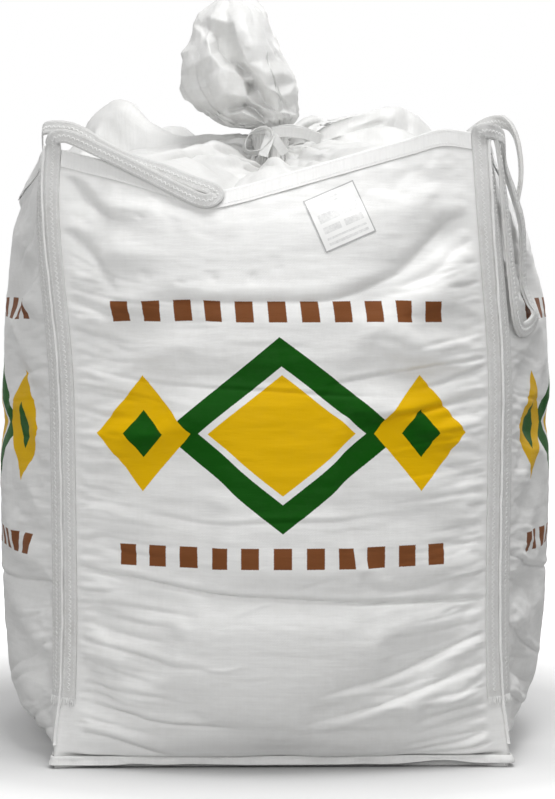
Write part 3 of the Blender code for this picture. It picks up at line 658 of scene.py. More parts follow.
# Folds of the front panel: points across and up in millimetres, then the half width, the
# groove's depth and the height of the ridge above it (below it if negative) in tenths of
# a millimetre, and the hundredths of its length over which either end fades
frontFolds = [
    ([(-397, 1147), (-369, 1110), (-339, 1083), (-318, 1064), (-288, 1058)], 114, 130, 90, 5, 35),
    ([(-405, 1043), (-373, 1016), (-353, 993), (-336, 966), (-321, 940),
      (-310, 915)], 114, 100, 40, 10, 25),
    ([(-426, 912), (-380, 897), (-341, 882), (-319, 875)], 95, 80, -60, 5, 25),
    ([(-413, 849), (-362, 834), (-305, 812), (-261, 807)], 114, 60, 30, 10, 50),
    ([(-418, 789), (-372, 773), (-275, 754), (-155, 744), (-3, 738), (119, 728),
      (299, 723)], 42, 40, 20, 3, 35),
    ([(-376, 727), (-320, 721), (-257, 711)], 57, 40, 20, 20, 50),
    ([(-414, 701), (-367, 691), (-322, 679)], 57, 40, 20, 10, 50),
    ([(-367, 656), (-300, 645)], 57, 30, 20, 30, 50),
    ([(-260, 1077), (-247, 1058)], 95, 50, 0, 40, 40),
    ([(-259, 974), (-237, 940)], 95, 50, 0, 40, 40),
    ([(-185, 949), (-170, 931)], 95, 40, 0, 40, 40),
    ([(-124, 967), (-105, 935)], 95, 50, 0, 40, 40),
    ([(-46, 967), (-31, 933)], 114, 50, 0, 40, 40),
    ([(-1, 995), (14, 953)], 95, 40, 0, 40, 40),
    ([(-310, 909), (-214, 904), (-97, 905), (7, 907), (88, 908), (151, 921), (191, 938), (238, 957),
      (277, 989), (318, 1024), (362, 1058), (405, 1074)], 133, 90, 60, 20, 5),
    ([(220, 925), (274, 945), (328, 970), (364, 1004), (410, 1028)], 95, 60, 40, 30, 10),
    ([(243, 811), (306, 825), (362, 842)], 57, 30, 20, 40, 40),
    ([(44, 739), (136, 756), (240, 771), (325, 785), (423, 798)], 47, 50, 40, 40, 3),
    ([(248, 732), (327, 751), (374, 769), (427, 789)], 57, 60, 50, 40, 3),
    ([(127, 660), (175, 669), (235, 686), (298, 702), (354, 714), (423, 723)], 95, 80, 60, 40, 3),
    ([(287, 651), (353, 659), (417, 668)], 57, 40, 20, 40, 5),
    ([(342, 567), (424, 579)], 57, 40, 20, 50, 5),
    ([(-415, 555), (-355, 542), (-300, 527)], 57, 40, 20, 5, 50),
    ([(-427, 512), (-374, 512)], 47, 40, 20, 5, 50),
    ([(-322, 509), (-227, 498), (-148, 487), (-6, 492), (98, 493), (215, 500)], 57, 40, 30, 30, 30),
    ([(369, 511), (427, 515)], 57, 50, 20, 50, 5),
    ([(-422, 444), (-328, 457)], 57, 40, 20, 5, 50),
    ([(298, 444), (427, 438)], 57, 40, 20, 40, 5),
    ([(-436, 401), (-366, 386), (-289, 377), (-217, 365), (-148, 356), (-72, 348), (-6, 345),
      (136, 338), (319, 332), (435, 330)], 61, 140, 60, 3, 3),
    ([(-106, 308), (-81, 318), (-30, 337), (13, 341)], 57, -50, 0, 40, 40),
    ([(13, 356), (64, 373), (121, 389)], 57, 40, 30, 30, 40),
    ([(337, 359), (383, 374), (429, 390)], 61, 60, 40, 40, 3),
    ([(315, 302), (368, 321)], 57, 50, 20, 40, 30),
    ([(-413, 347), (-328, 350)], 57, 50, 30, 5, 50),
    ([(-420, 325), (-311, 323), (-217, 316), (-138, 311)], 49, 50, 30, 5, 40),
    ([(-348, 303), (-247, 286)], 49, 40, 20, 30, 40),
    ([(-404, 253), (-343, 242), (-289, 230), (-217, 216), (-133, 210)], 68, 80, 50, 3, 35),
    ([(-162, 219), (-119, 208), (-58, 225)], 38, -30, 0, 30, 40),
    ([(-401, 166), (-330, 161), (-267, 155), (-174, 138)], 61, 60, 40, 3, 40),
    ([(-418, 151), (-368, 145), (-325, 132)], 49, 60, 30, 3, 40),
    ([(-383, 130), (-312, 113), (-247, 98), (-153, 88), (-72, 88)], 65, 80, 50, 5, 35),
    ([(-400, 73), (-335, 62), (-266, 45), (-204, 30)], 76, 90, 70, 5, 40),
    ([(429, 270), (340, 238), (235, 198), (137, 175), (19, 141)], 80, 100, 70, 3, 40),
    ([(427, 210), (350, 187), (276, 165), (118, 115), (10, 86)], 80, 100, 70, 3, 40),
    ([(425, 181), (371, 156), (317, 133)], 57, 60, 40, 5, 40),
    ([(420, 127), (358, 118), (295, 101), (245, 81)], 68, 70, 50, 5, 40),
    ([(434, 102), (394, 97), (352, 94)], 57, 50, 30, 5, 40),
    ([(426, 77), (390, 64), (348, 49)], 65, 60, 40, 5, 40),
    ([(425, 52), (352, 40), (235, 32), (-6, 29)], 65, 80, 50, 3, 30),
]


def inMetres(fold):
    points, half, depth, lift, startFade, endFade = fold
    return (np.array(points) / 1000, half / 1e4, depth / 1e4, lift / 1e4, startFade / 100, endFade / 100)


def pressFolds(u, z, folds):
    push = np.zeros_like(u)
    for points, half, depth, lift, startFade, endFade in folds:
        line = np.array(points)
        lengths = chordPlaces(line)
        fine = np.linspace(0, lengths[-1], max(3, int(lengths[-1] / 0.02)))
        if len(line) > 2:
            line = refine(line, lengths, fine)
        else:
            line = line[:1] + (line[1:] - line[:1]) * (fine / fine[-1])[:, None]
        reach = 5 * half
        low, high = line.min(axis=0) - reach, line.max(axis=0) + reach
        rows, columns = np.nonzero((u > low[0]) & (u < high[0]) & (z > low[1]) & (z < high[1]))
        if len(rows) == 0:
            continue
        pu, pz = u[rows, columns], z[rows, columns]
        best, side, share = np.full(len(pu), 9.0), np.zeros(len(pu)), np.zeros(len(pu))
        for k in range(len(line) - 1):
            (au, az), (du, dz) = line[k], line[k + 1] - line[k]
            t = np.clip(((pu - au) * du + (pz - az) * dz) / (du * du + dz * dz), 0, 1)
            offU, offZ = pu - au - t * du, pz - az - t * dz
            away = np.hypot(offU, offZ)
            closer = away < best
            best = np.where(closer, away, best)
            side = np.where(closer, np.sign(du * offZ - dz * offU), side)
            share = np.where(closer, (k + t) / (len(line) - 1), share)
        fade = smoothStep(share, 0, startFade) * smoothStep(1 - share, 0, endFade)
        signed = best * side * (1 if lift >= 0 else -1)
        groove = -1.08 * depth * np.exp(-best / (0.55 * half))
        ridge = 0.68 * abs(lift) * np.exp(-((signed - 1.6 * half) / (1.3 * half)) ** 2)
        push[rows, columns] += (groove + ridge) * fade
    return push


def scatteredFolds(seed, count, depthTimes):
    # Short folds that run in from the webbing on either side and sag towards the middle,
    # and a third as many faint ones that lie level between them
    chance = np.random.default_rng(seed)
    folds = []
    for _ in range(count):
        side = -1 if chance.random() < 0.5 else 1
        z = chance.uniform(0.05, 1.0)
        steep = 0.10 + 0.28 * abs(z - 0.55) / 0.5 * chance.random()
        length = chance.uniform(0.05, 0.26)
        start = side * chance.uniform(0.405, 0.428)
        middle = (start - side * length * 0.5,
                  z - steep * length * 0.6 + chance.uniform(-0.006, 0.006))
        end = (start - side * length, z - steep * length)
        half = chance.uniform(0.0028, 0.0075)
        depth = depthTimes * half * chance.uniform(0.35, 0.85)
        lift = depthTimes * half * chance.uniform(0.1, 0.5)
        folds.append(([(start, z), middle, end], half, depth, lift, 0.03, chance.uniform(0.3, 0.6)))
    for _ in range(count // 3):
        u, z = chance.uniform(-0.3, 0.3), chance.uniform(0.1, 0.9)
        length, half = chance.uniform(0.05, 0.2), chance.uniform(0.004, 0.007)
        middle = (u, z + chance.uniform(-0.004, 0.004))
        end = (u + length / 2, z + chance.uniform(-0.01, 0.01))
        depth = depthTimes * half * chance.uniform(0.15, 0.4)
        folds.append(([(u - length / 2, z), middle, end], half, depth, depthTimes * half * 0.2, 0.4, 0.4))
    return folds


# Long folds from either side of a panel: height at the side, length and slope
sideFolds = ((0.27, 0.34, 0.33), (0.20, 0.36, 0.30), (0.13, 0.26, 0.26), (0.07, 0.30, 0.12),
             (0.72, 0.33, 0.12), (0.80, 0.26, 0.14), (1.00, 0.24, 0.55), (1.10, 0.22, 0.5))


def longFolds(seed):
    # The deep ones of a panel: a smile across it and a few long ones from its corners
    chance = np.random.default_rng(seed)
    drop = chance.uniform(-0.03, 0.03)
    smile = ((-0.43, 0.40), (-0.3, 0.36), (-0.1, 0.335), (0.15, 0.33), (0.43, 0.345))
    folds = [([(u, z + drop) for u, z in smile], 0.0065, 0.012, 0.006, 0.03, 0.03)]
    for side in (-1, 1):
        for z, length, slope in sideFolds:
            z += chance.uniform(-0.025, 0.025)
            length *= chance.uniform(0.7, 1.15)
            start = side * 0.425
            points = [(start, z), (start - side * length * 0.4, z - slope * length * 0.5),
                      (start - side * length, z - slope * length)]
            half, depth = chance.uniform(0.006, 0.011), chance.uniform(0.006, 0.010)
            folds.append((points, half, depth, chance.uniform(0.003, 0.007), 0.03, 0.4))
    return folds


def settleSack(wall, wallLength, height):
    # Small buckles of the cloth between the webbing, the hem and the base
    coarse, across, half = refineRing(wall, sack["simCells"])
    fresh = np.linspace(0, wallLength, sack["simRows"])
    coarse = refine(coarse, chordPlaces(coarse), fresh * chordPlaces(coarse)[-1] / wallLength)
    fromEdge = half - np.abs(across)
    loose = smoothStep(fromEdge, 0.030, 0.060)[None, :] * smoothStep(coarse[..., 2], 0.02, 0.05)
    loose = loose * smoothStep(wallLength - fresh, 0.03, 0.06)[:, None]
    moves = settle(coarse, 1 - (1 - sack["grip"]) * loose, sack["growth"], sack["bend"], sack["cap"])
    moves = refineMoves(moves, *height.shape)
    # Quieter above the fill, along the base and on the three panels away from the label
    moves = moves * (1 - sack["quiet"] * smoothStep(height, *sack["quietAbove"]))[..., None]
    moves = moves * smoothStep(height, *sack["stillBelow"])[..., None]
    moves[:, sack["cells"]:] *= sack["otherPanels"]
    return moves


def creaseSack(spread, height, edge):
    # How far each point stands out: folds, a fine unevenness and the hang of the sides
    cells = sack["cells"]
    push = np.zeros_like(height)
    for panel in range(4):
        part = slice(panel * cells, (panel + 1) * cells)
        u, z = spread[:, part], height[:, part]
        if panel == 0:
            folds = [inMetres(fold) for fold in frontFolds] + scatteredFolds(11, 120, 0.75)
            calm = 1.0
        else:
            folds = longFolds(20 + panel) + scatteredFolds(30 + panel, 150, 0.9)
            calm = 0.72 - 0.27 * smoothStep(z, 0.42, 0.5) * (1 - smoothStep(z, 0.85, 0.95))
        push[:, part] += pressFolds(u, z, folds) * calm * sack["foldDepth"]
        broad = latticeNoise(u * 9 + 5 * panel, z * 38, 41)
        push[:, part] += 0.0011 * broad + 0.0006 * latticeNoise(u * 26, z * 90 + 9 * panel, 42)
    # The left side hangs lower and the right side is a little flatter than the solid
    reach = smoothStep(edge, *sack["sagReach"])
    for name, part in (("rightSag", slice(cells, 2 * cells)), ("leftSag", slice(3 * cells, 4 * cells))):
        push[:, part] += np.interp(height[:, part], *sack[name]) * reach[:, part]
    return push


def sackUvs(fine, height, topRows, across, halfLength):
    # The cloth's own measure on each panel: across from its middle, and up
    columns = len(across)
    step = 2 * halfLength / sack["cells"]
    upTo = np.concatenate([fine[:, :, 2].mean(axis=1), 1.25 + np.arange(topRows) * 0.1])
    uvs = []
    for row in range(len(fine) + topRows - 1):
        for k in range(columns):
            left, right = across[k], across[k] + step
            if row < len(fine) - 1:
                after = (k + 1) % columns
                uvs += [(left, height[row, k]), (right, height[row, after]),
                        (right, height[row + 1, after]), (left, height[row + 1, k])]
            else:
                uvs += quadUvs(left, right, upTo[row], upTo[row + 1])
    for k in range(columns):
        uvs += [(across[k], 2.0), (across[k], 2.0), (0.0, 2.1)]
    return uvs + [(0.0, 0.0)] * columns


def makeSack():
    rings = nodeRings("sack_body", sack["fillTop"])
    wall = rings[4:][::-1]
    cells = sack["cells"]
    fine, across, halfLength = refineRing(wall, cells)
    places = chordPlaces(fine)
    fresh = np.linspace(0, places[-1], int(places[-1] / sack["rowStep"]) + 1)
    fine = refine(fine, places, fresh)
    print("sack grid", fine.shape, "panel half length", round(halfLength, 4))
    height = fine[..., 2]
    moves = settleSack(wall, places[-1], height)
    spread = np.broadcast_to(across, height.shape)
    edge = halfLength - np.abs(spread)
    hold = smoothStep(edge, sack["webbingEdge"] + 0.001, sack["webbingEdge"] + 0.012)
    hold = hold * smoothStep(places[-1] - fresh, sack["hem"] + 0.002, sack["hem"] + 0.02)[:, None]
    hold = hold * smoothStep(height, sack["baseHem"] + 0.001, sack["baseHem"] + 0.02)
    push = creaseSack(spread, height, edge)
    # A lip hangs over the base hem, and the cloth turns in under it
    normals = gridNormals(fine)
    lip = smoothStep(height, sack["baseHem"], sack["baseHem"] + 0.009)
    lip = lip * (1 - smoothStep(height, *sack["lipEnds"]))
    lip = lip * smoothStep(edge, 0.0, 0.08) * (1.0 + 0.35 * latticeNoise(spread * 11, height * 9, 44))
    lip[:, cells:2 * cells] *= sack["sideLip"]
    lip[:, 3 * cells:] *= sack["sideLip"]
    tuck = sack["tuck"] * (1 - smoothStep(height, *sack["tuckEnds"])) * smoothStep(edge, 0.0, 0.07)
    fine = (fine + normals * (push * hold + sack["lip"] * lip)[..., None] + moves * hold[..., None]
            - levelled(normals) * tuck[..., None])
    fine[..., 2] -= sack["lipDrop"] * lip

    top = refineRing(rings[:4][::-1], cells)[0]
    points = np.concatenate([fine.reshape(-1, 3), top.reshape(-1, 3), [np.array(sack["fillTop"])]])
    columns = 4 * cells
    faces = ringFaces(len(fine) + len(top), columns)
    last = (len(fine) + len(top) - 1) * columns
    faces += [(last + k, last + (k + 1) % columns, len(points) - 1) for k in range(columns)]
    faces.append(tuple(reversed(range(columns))))
    uvs = sackUvs(fine, height, len(top), across, halfLength)
    thing = meshObject("wovenSack", points, faces, uvs)
    finishPiece(thing, ["sack_body"], wovenPrinted)
    return thing, rings


sackPiece, sackRings = makeSack()
print("sack made:", len(sackPiece.data.polygons), "faces")


# Filling skirt and tuft

# farShift and puffs move the cloth out to the outline that the photo shows: a puff has its
# place, its height and its radius
skirt = {"columns": 80, "skirtStep": 0.0066, "tuftStep": 0.0042, "pleats": 27, "pleatDepth": 0.011,
         "tuftPleats": 17, "tuftPleatDepth": 0.009,
         "broadSize": 0.13, "broadDepth": 0.0105, "fineSize": 0.05, "fineDepth": 0.0045,
         "peak": (-0.108, 0.0, 1.525), "neckX": -0.015, "rimDrop": 0.014, "reliefScale": 0.0030,
         "bow": (-0.015, -0.075, 1.215), "bowReach": 0.10, "bowPress": 0.014,
         "tuftSettle": 0.55, "tuftShrink": 0.075, "tuftDrop": 0.009, "farShift": (0.017, 0.0, -0.008),
         "puffs": ((0.27, 0.08, 0.034, 0.12), (0.385, 0.24, 0.030, 0.09)),
         "flat": (1.60, 0.72), "grip": 0.05, "growth": 0.10, "bend": 0.3, "cap": 0.020}

# The tuft's front as flat facets between these points: across and up in metres from the
# middle of the floor, and how far each stands out of the smooth shape, in millimetres
tuftRelief = [
    (-0.180, 1.474, 0), (-0.150, 1.493, 0), (-0.107, 1.513, 0), (-0.072, 1.509, 0), (-0.043, 1.501, 0),
    (-0.016, 1.468, 0), (0.004, 1.425, 0), (0.029, 1.384, 0), (0.043, 1.353, 0), (0.047, 1.312, 0),
    (0.043, 1.286, 0), (-0.201, 1.370, 0), (-0.193, 1.425, 0), (-0.197, 1.333, 0), (-0.162, 1.288, 0),
    (-0.135, 1.265, 0), (-0.096, 1.251, 0), (-0.135, 1.480, 2), (-0.100, 1.491, 5), (-0.090, 1.468, 9),
    (-0.088, 1.452, 10), (-0.078, 1.419, 10), (-0.066, 1.386, 8), (-0.045, 1.357, 8),
    (-0.025, 1.337, 8), (0.000, 1.288, 2), (-0.146, 1.462, -5), (-0.125, 1.439, -9),
    (-0.121, 1.415, -10), (-0.102, 1.392, -9), (-0.086, 1.390, -8), (-0.072, 1.378, -10),
    (-0.057, 1.345, -12), (-0.047, 1.337, -8), (-0.158, 1.450, 3), (-0.144, 1.427, 6),
    (-0.137, 1.402, 8), (-0.115, 1.376, 9), (-0.090, 1.370, 9), (-0.072, 1.353, 8), (-0.064, 1.316, 8),
    (-0.164, 1.411, 5), (-0.172, 1.386, 6), (-0.152, 1.361, -1), (-0.144, 1.337, 5),
    (-0.102, 1.349, 10), (-0.115, 1.320, 8), (-0.135, 1.302, 2), (-0.115, 1.292, -3),
    (-0.086, 1.296, -9), (-0.066, 1.304, -10), (-0.047, 1.296, -9), (-0.031, 1.279, -6),
    (-0.098, 1.284, 3), (-0.074, 1.286, 8), (-0.047, 1.275, 6), (-0.025, 1.263, 3),
    (-0.078, 1.263, -8), (-0.086, 1.251, -4), (-0.057, 1.310, 6), (-0.033, 1.298, 5),
    (-0.006, 1.279, 2), (-0.041, 1.333, -5), (-0.025, 1.308, -6), (-0.041, 1.456, 5),
    (-0.025, 1.425, 6), (-0.006, 1.394, 3), (0.012, 1.370, 6), (-0.016, 1.363, 9), (0.008, 1.345, 3),
    (0.025, 1.329, 6), (0.004, 1.322, 7), (0.029, 1.302, 0), (0.014, 1.296, -3)
]


def reliefAt(x, z, control):
    # Height of the facets between the control points, nothing outside them
    flat = [Vector(point[:2]) for point in control]
    made = delaunay_2d_cdt(flat, [], [], 0, 1e-6)
    heights = np.array([control[source[0]][2] for source in made[3]])
    corners = np.array([vert[:] for vert in made[0]])
    found = np.zeros_like(x)
    for a, b, c in made[2]:
        (ax, az), (bx, bz), (cx, cz) = corners[a], corners[b], corners[c]
        whole = (bx - ax) * (cz - az) - (cx - ax) * (bz - az)
        if abs(whole) < 1e-9:
            continue
        shareB = ((x - ax) * (cz - az) - (cx - ax) * (z - az)) / whole
        shareC = ((bx - ax) * (z - az) - (x - ax) * (bz - az)) / whole
        inside = (shareB >= 0) & (shareC >= 0) & (shareB + shareC <= 1)
        value = heights[a] * (1 - shareB - shareC) + heights[b] * shareB + heights[c] * shareC
        found = np.where(inside, value, found)
    return found


def sheetUvs(grid):
    # Lengths along and across the cloth for each corner of each face
    rows, columns = grid.shape[:2]
    up = chordPlaces(grid)
    widest = np.linalg.norm(np.roll(grid, -1, axis=1) - grid, axis=2).sum(axis=1).max()
    uvs = []
    for row in range(rows - 1):
        for k in range(columns):
            uvs += quadUvs(k * widest / columns, (k + 1) * widest / columns, up[row], up[row + 1])
    return uvs


def sharpPleats(angle, count, seed):
    # Rounded ridges with sharp valleys between them, uneven in width and height
    chance = np.random.default_rng(seed)
    shifts = chance.uniform(0, 2 * math.pi, 3)
    bent = angle + 0.10 * np.sin(3 * angle + shifts[0]) + 0.06 * np.sin(7 * angle + shifts[1])
    ridge = np.abs(np.sin(bent * count / 2))
    return (ridge - 0.64) * (1 + 0.35 * np.sin(5 * angle + shifts[2]))


def skirtGrid():
    # The CAD's rings from under the rim hem up into the tuft, with more rows and columns,
    # each row's place along the cloth, and the places where the neck starts and ends
    rings = nodeRings("filling_skirt", skirt["peak"])
    shift = int(np.argmin(rings[16][:, 0] + rings[16][:, 1]))
    rings = np.roll(rings, -shift, axis=1)
    rim = sackRings[4] * (0.992, 0.992, 1.0) - (0, 0, skirt["rimDrop"])
    low = np.concatenate([rim[None], rings[:17][::-1]])
    # Sharp panel corners at the rim, none from the third ring up
    sharp = refineRing(low, skirt["columns"])[0]
    soft = refineRing(low, skirt["columns"], 2)[0]
    blend = smoothStep(np.arange(len(low)), 0, 3)[:, None, None]
    fine = sharp * (1 - blend) + soft * blend
    places = chordPlaces(fine)
    neck, collar = places[8], places[9]
    skirtRows = int(neck / skirt["skirtStep"])
    tuftRows = int((places[-1] - neck) / skirt["tuftStep"])
    fresh = np.concatenate([np.linspace(0, neck, skirtRows)[:-1], np.linspace(neck, places[-1], tuftRows)])
    return refine(fine, places, fresh), fresh, neck, collar


def settleSkirt(fine, fresh, neck, collar):
    # Buckled cloth, pressed down round the bow; returns it and how far each point is pressed
    coarse = fine[::2, ::2]
    along = np.linspace(0, 1, len(coarse))[:, None]
    onNeck = np.abs(fresh[::2, None] - (neck + collar) / 2)
    loose = smoothStep(along, 0.0, 0.05) * smoothStep(onNeck, 0.010, 0.035) * np.ones(coarse.shape[1])
    moves = settle(coarse, 1 - (1 - skirt["grip"]) * loose, skirt["growth"], skirt["bend"], skirt["cap"])
    bow = np.linalg.norm(fine - np.array(skirt["bow"]), axis=2)
    pressed = np.where(fresh[:, None] < neck, np.exp(-(bow / skirt["bowReach"]) ** 2), 0.0)
    kept = (1 - pressed) * np.where(fresh[:, None] > collar, skirt["tuftSettle"], 1.0)
    fine = fine + refineMoves(moves, len(fine), fine.shape[1]) * kept[..., None]
    fine[..., 2] -= skirt["bowPress"] * np.where(fine[..., 1] < -0.03, pressed, 0.0)
    # The settling swells the tuft, so it is drawn in again round its own middle
    swollen = smoothStep((fresh - collar) / (fresh[-1] - collar), 0.05, 0.3)[:, None, None]
    core = fine.mean(axis=1, keepdims=True)
    drop = swollen * np.array([0, 0, skirt["tuftDrop"]])
    fine = core + (fine - core) * (1 - skirt["tuftShrink"] * swollen) - drop
    far = smoothStep(-fine[..., 0], 0.10, 0.20) * smoothStep(fine[..., 2], 1.27, 1.42)
    return fine + far[..., None] * np.array(skirt["farShift"]), pressed


def creaseSkirt(fine, fresh, neck, collar, pressed):
    # Pleats drawn in by the tie, crushed facets, puffs and the tuft's front
    onSkirt = np.clip(fresh / neck, 0, 1)[:, None]
    onTuft = np.clip((fresh - collar) / (fresh[-1] - collar), 0, 1)[:, None]
    normals = gridNormals(fine)
    middle = fine.mean(axis=1, keepdims=True)
    x, y = fine[..., 0] - skirt["neckX"], fine[..., 1]
    angle = np.arctan2(y, x)
    around = np.arctan2(fine[..., 1] - middle[..., 1], fine[..., 0] - middle[..., 0])

    # From the skirt below and into the tuft above
    below = smoothStep(onSkirt, 0.12, 0.85) * (1 - 0.6 * smoothStep(onSkirt, 0.93, 1.0))
    pleats = sharpPleats(angle + 0.25 * np.sin(4 * onSkirt), skirt["pleats"], 3)
    push = skirt["pleatDepth"] * pleats * below * (onTuft <= 0)
    above = smoothStep(onTuft, 0.0, 0.05) * (1 - smoothStep(onTuft, 0.10, 0.42))
    facing = smoothStep(-normals[..., 1], 0.05, 0.55) * smoothStep(onTuft, 0.02, 0.10)
    pleats = sharpPleats(around + 0.4 * onTuft, skirt["tuftPleats"], 8)
    push = push + skirt["tuftPleatDepth"] * pleats * above * (1 - 0.6 * facing)
    # Facets everywhere but at the rim and the neck, on the skirt drawn out towards the neck
    free = (smoothStep(onSkirt, 0.03, 0.16) * (1 - smoothStep(onSkirt, 0.86, 0.98))
            + smoothStep(onTuft, 0.06, 0.30) * (0.85 - 0.5 * facing))
    free = free * (1 - 0.8 * pressed)
    drawn = np.stack([0.30 * np.cos(angle), 0.30 * np.sin(angle), 0.34 * np.hypot(x, y)], axis=-1)
    drawn = np.where(onTuft[..., None] > 0, fine, drawn)
    broad = crushed(fine, 5, skirt["broadSize"])
    push = push + skirt["broadDepth"] * broad * free * np.where(onTuft > 0, 1.0, 0.5)
    push = push + skirt["fineDepth"] * crushed(drawn, 6, skirt["fineSize"]) * free
    # Two places where the air under the cloth holds it up
    raised = np.zeros(push.shape)
    for puffX, puffY, height, wide in skirt["puffs"]:
        away = np.hypot(fine[..., 0] - puffX, fine[..., 1] - puffY) / wide
        lift = height * np.exp(-away ** 2) * smoothStep(onSkirt, 0.05, 0.25)
        raised = raised + lift * (1 - smoothStep(onSkirt, 0.86, 0.98)) * (onTuft <= 0)
    fine = fine + normals * push[..., None]
    fine[..., 2] += raised
    fine[..., 1] -= reliefAt(fine[..., 0], fine[..., 2], tuftRelief) * skirt["reliefScale"] * facing
    return fine


def makeSkirt():
    fine, fresh, neck, collar = skirtGrid()
    fine, pressed = settleSkirt(fine, fresh, neck, collar)
    # A few rows close the tuft at its tip
    tip = np.array(skirt["peak"])
    closing = [tip + (fine[-1] - tip) * (1 - t) + (0, 0, 0.004 * math.sin(math.pi * t))
               for t in (0.15, 0.3, 0.45, 0.6, 0.75, 0.9)]
    fine = np.concatenate([fine, closing])
    fresh = np.concatenate([fresh, np.full(len(closing), fresh[-1])])
    pressed = np.concatenate([pressed, np.zeros((len(closing), pressed.shape[1]))])
    fine = creaseSkirt(fine, fresh, neck, collar, pressed)

    columns = fine.shape[1]
    points = np.concatenate([fine.reshape(-1, 3), [tip + (0, 0, 0.002)]])
    faces = ringFaces(*fine.shape[:2])
    last = (len(fine) - 1) * columns
    faces += [(last + k, last + (k + 1) % columns, len(points) - 1) for k in range(columns)]
    thing = meshObject("fillingSkirt", points, faces, sheetUvs(fine) + [(0.0, 0.0)] * (3 * columns))
    finishPiece(thing, ["filling_skirt"], wovenPlain)
    print("skirt area", round(sum(face.area for face in thing.data.polygons), 3))


makeSkirt()
print("skirt and tuft made")


# Strips swept along CAD rails: webbing, hems and tape

def outwardRails(sections):
    # Turns each section so that corners 0 and 1 are its inner wide side
    first = sections[0]
    if np.linalg.norm(first[1] - first[0]) < np.linalg.norm(first[2] - first[1]):
        sections = np.roll(sections, -1, axis=1)
    middle = sections[:, [0, 1]].mean(axis=1) - sections[:, [2, 3]].mean(axis=1)
    away = sections.mean(axis=1) * (1, 1, 0)
    if (middle[: len(middle) // 4 + 1] * away[: len(middle) // 4 + 1]).sum() > 0:
        sections = np.roll(sections, -2, axis=1)
    return sections


def stripSection(corners, wide, edgeNotch):
    # The outline of one section: inner side, edge, outer side, edge
    p0, p1, p2, p3 = corners
    thick = np.linalg.norm(p3 - p0)
    width = max(np.linalg.norm(p1 - p0), 1e-6)
    trim = min(0.3 * thick, 0.0009)
    along = (p1 - p0) / width * trim
    up = (p3 - p0) / max(thick, 1e-6) * trim
    outline = []
    inner0, inner1, outer1, outer0 = p0 + along, p1 - along, p2 - along, p3 + along
    outline += [inner0 + (inner1 - inner0) * k / wide for k in range(wide + 1)]
    outline += [p1 + up, (p1 + p2) / 2 - along * edgeNotch, p2 - up]
    outline += [outer1 + (outer0 - outer1) * k / wide for k in range(wide + 1)]
    outline += [p3 - up, (p0 + p3) / 2 + along * edgeNotch, p0 + up]
    return outline


def turnOutward(thing):
    useOnly(thing)
    bpy.ops.object.mode_set(mode="EDIT")
    bpy.ops.mesh.select_all(action="SELECT")
    bpy.ops.mesh.normals_make_consistent(inside=False)
    bpy.ops.object.mode_set(mode="OBJECT")
    thing.select_set(False)


def sweepStrip(name, sections, step, wide=6, notchFrom=None, closed=False, shape=None):
    # Sections are four corners each; where they are thicker than notchFrom the webbing lies
    # double and its edges get a notch
    if closed:
        sections = np.concatenate([sections, sections[:1]])
    places = chordPlaces(sections)
    fresh = np.linspace(0, places[-1], max(4, int(places[-1] / step)))
    fine = refine(sections, places, fresh)
    if closed:
        fine, fresh = fine[:-1], fresh[:-1]
    outlines = []
    for corners in fine:
        thick = np.linalg.norm(corners[3] - corners[0])
        double = 0.0 if notchFrom is None else float(np.clip((thick - notchFrom) / 0.003, 0, 1))
        outlines.append(stripSection(corners, wide, double * 2.2))
    grid = np.array(outlines)
    if shape is not None:
        grid = shape(grid, fresh)
    rows, columns = grid.shape[:2]
    around = chordPlaces(grid[rows // 2])
    edges = np.append(around, around[-1] + np.linalg.norm(grid[rows // 2][0] - grid[rows // 2][-1]))
    faces, uvs = [], []
    for row in range(rows if closed else rows - 1):
        low, high = row * columns, (row + 1) % rows * columns
        for k in range(columns):
            after = (k + 1) % columns
            faces.append((low + k, low + after, high + after, high + k))
            uvs += quadUvs(edges[k], edges[k + 1], fresh[row], fresh[row] + step)
    if not closed:
        faces.append(tuple(reversed(range(columns))))
        faces.append(tuple((rows - 1) * columns + k for k in range(columns)))
        uvs += [(0.0, 0.0)] * (2 * columns)
    thing = meshObject(name, grid.reshape(-1, 3), faces, uvs)
    turnOutward(thing)
    return thing, fine, fresh


def modelStitch():
    # One stitch: a short thread, thicker in its middle
    bpy.ops.object.select_all(action="DESELECT")
    bpy.ops.mesh.primitive_uv_sphere_add(segments=6, ring_count=4, radius=0.5, location=(0, 0, 0))
    stitch = bpy.context.object
    bpy.ops.object.mode_set(mode="EDIT")
    bpy.ops.mesh.select_all(action="SELECT")
    bpy.ops.transform.rotate(value=math.pi / 2, orient_axis="Y", center_override=(0, 0, 0))
    bpy.ops.mesh.normals_make_consistent(inside=False)
    bpy.ops.object.mode_set(mode="OBJECT")
    points = np.array([vert.co[:] for vert in stitch.data.vertices])
    faces = [tuple(face.vertices) for face in stitch.data.polygons]
    bpy.data.objects.remove(stitch)
    return points, faces


stitchPoints, stitchFaces = modelStitch()


class ThreadRows:
    # Collects stitches until they are made into one piece

    def __init__(self):
        self.points = []
        self.faces = []

    def add(self, start, end, normal, thickness):
        along = end - start
        length = np.linalg.norm(along)
        if length < 1e-5:
            return
        along = along / length
        side = np.cross(normal, along)
        side = side / max(np.linalg.norm(side), 1e-9)
        up = np.cross(along, side)
        turned = np.stack([along * length, side * thickness, up * thickness * 0.8])
        base = sum(len(part) for part in self.points)
        self.points.append(stitchPoints @ turned + (start + end) / 2)
        self.faces += [tuple(base + k for k in face) for face in stitchFaces]

    def make(self, name):
        thing = meshObject(name, np.concatenate(self.points), self.faces)
        return finishPiece(thing, [], whiteThread)


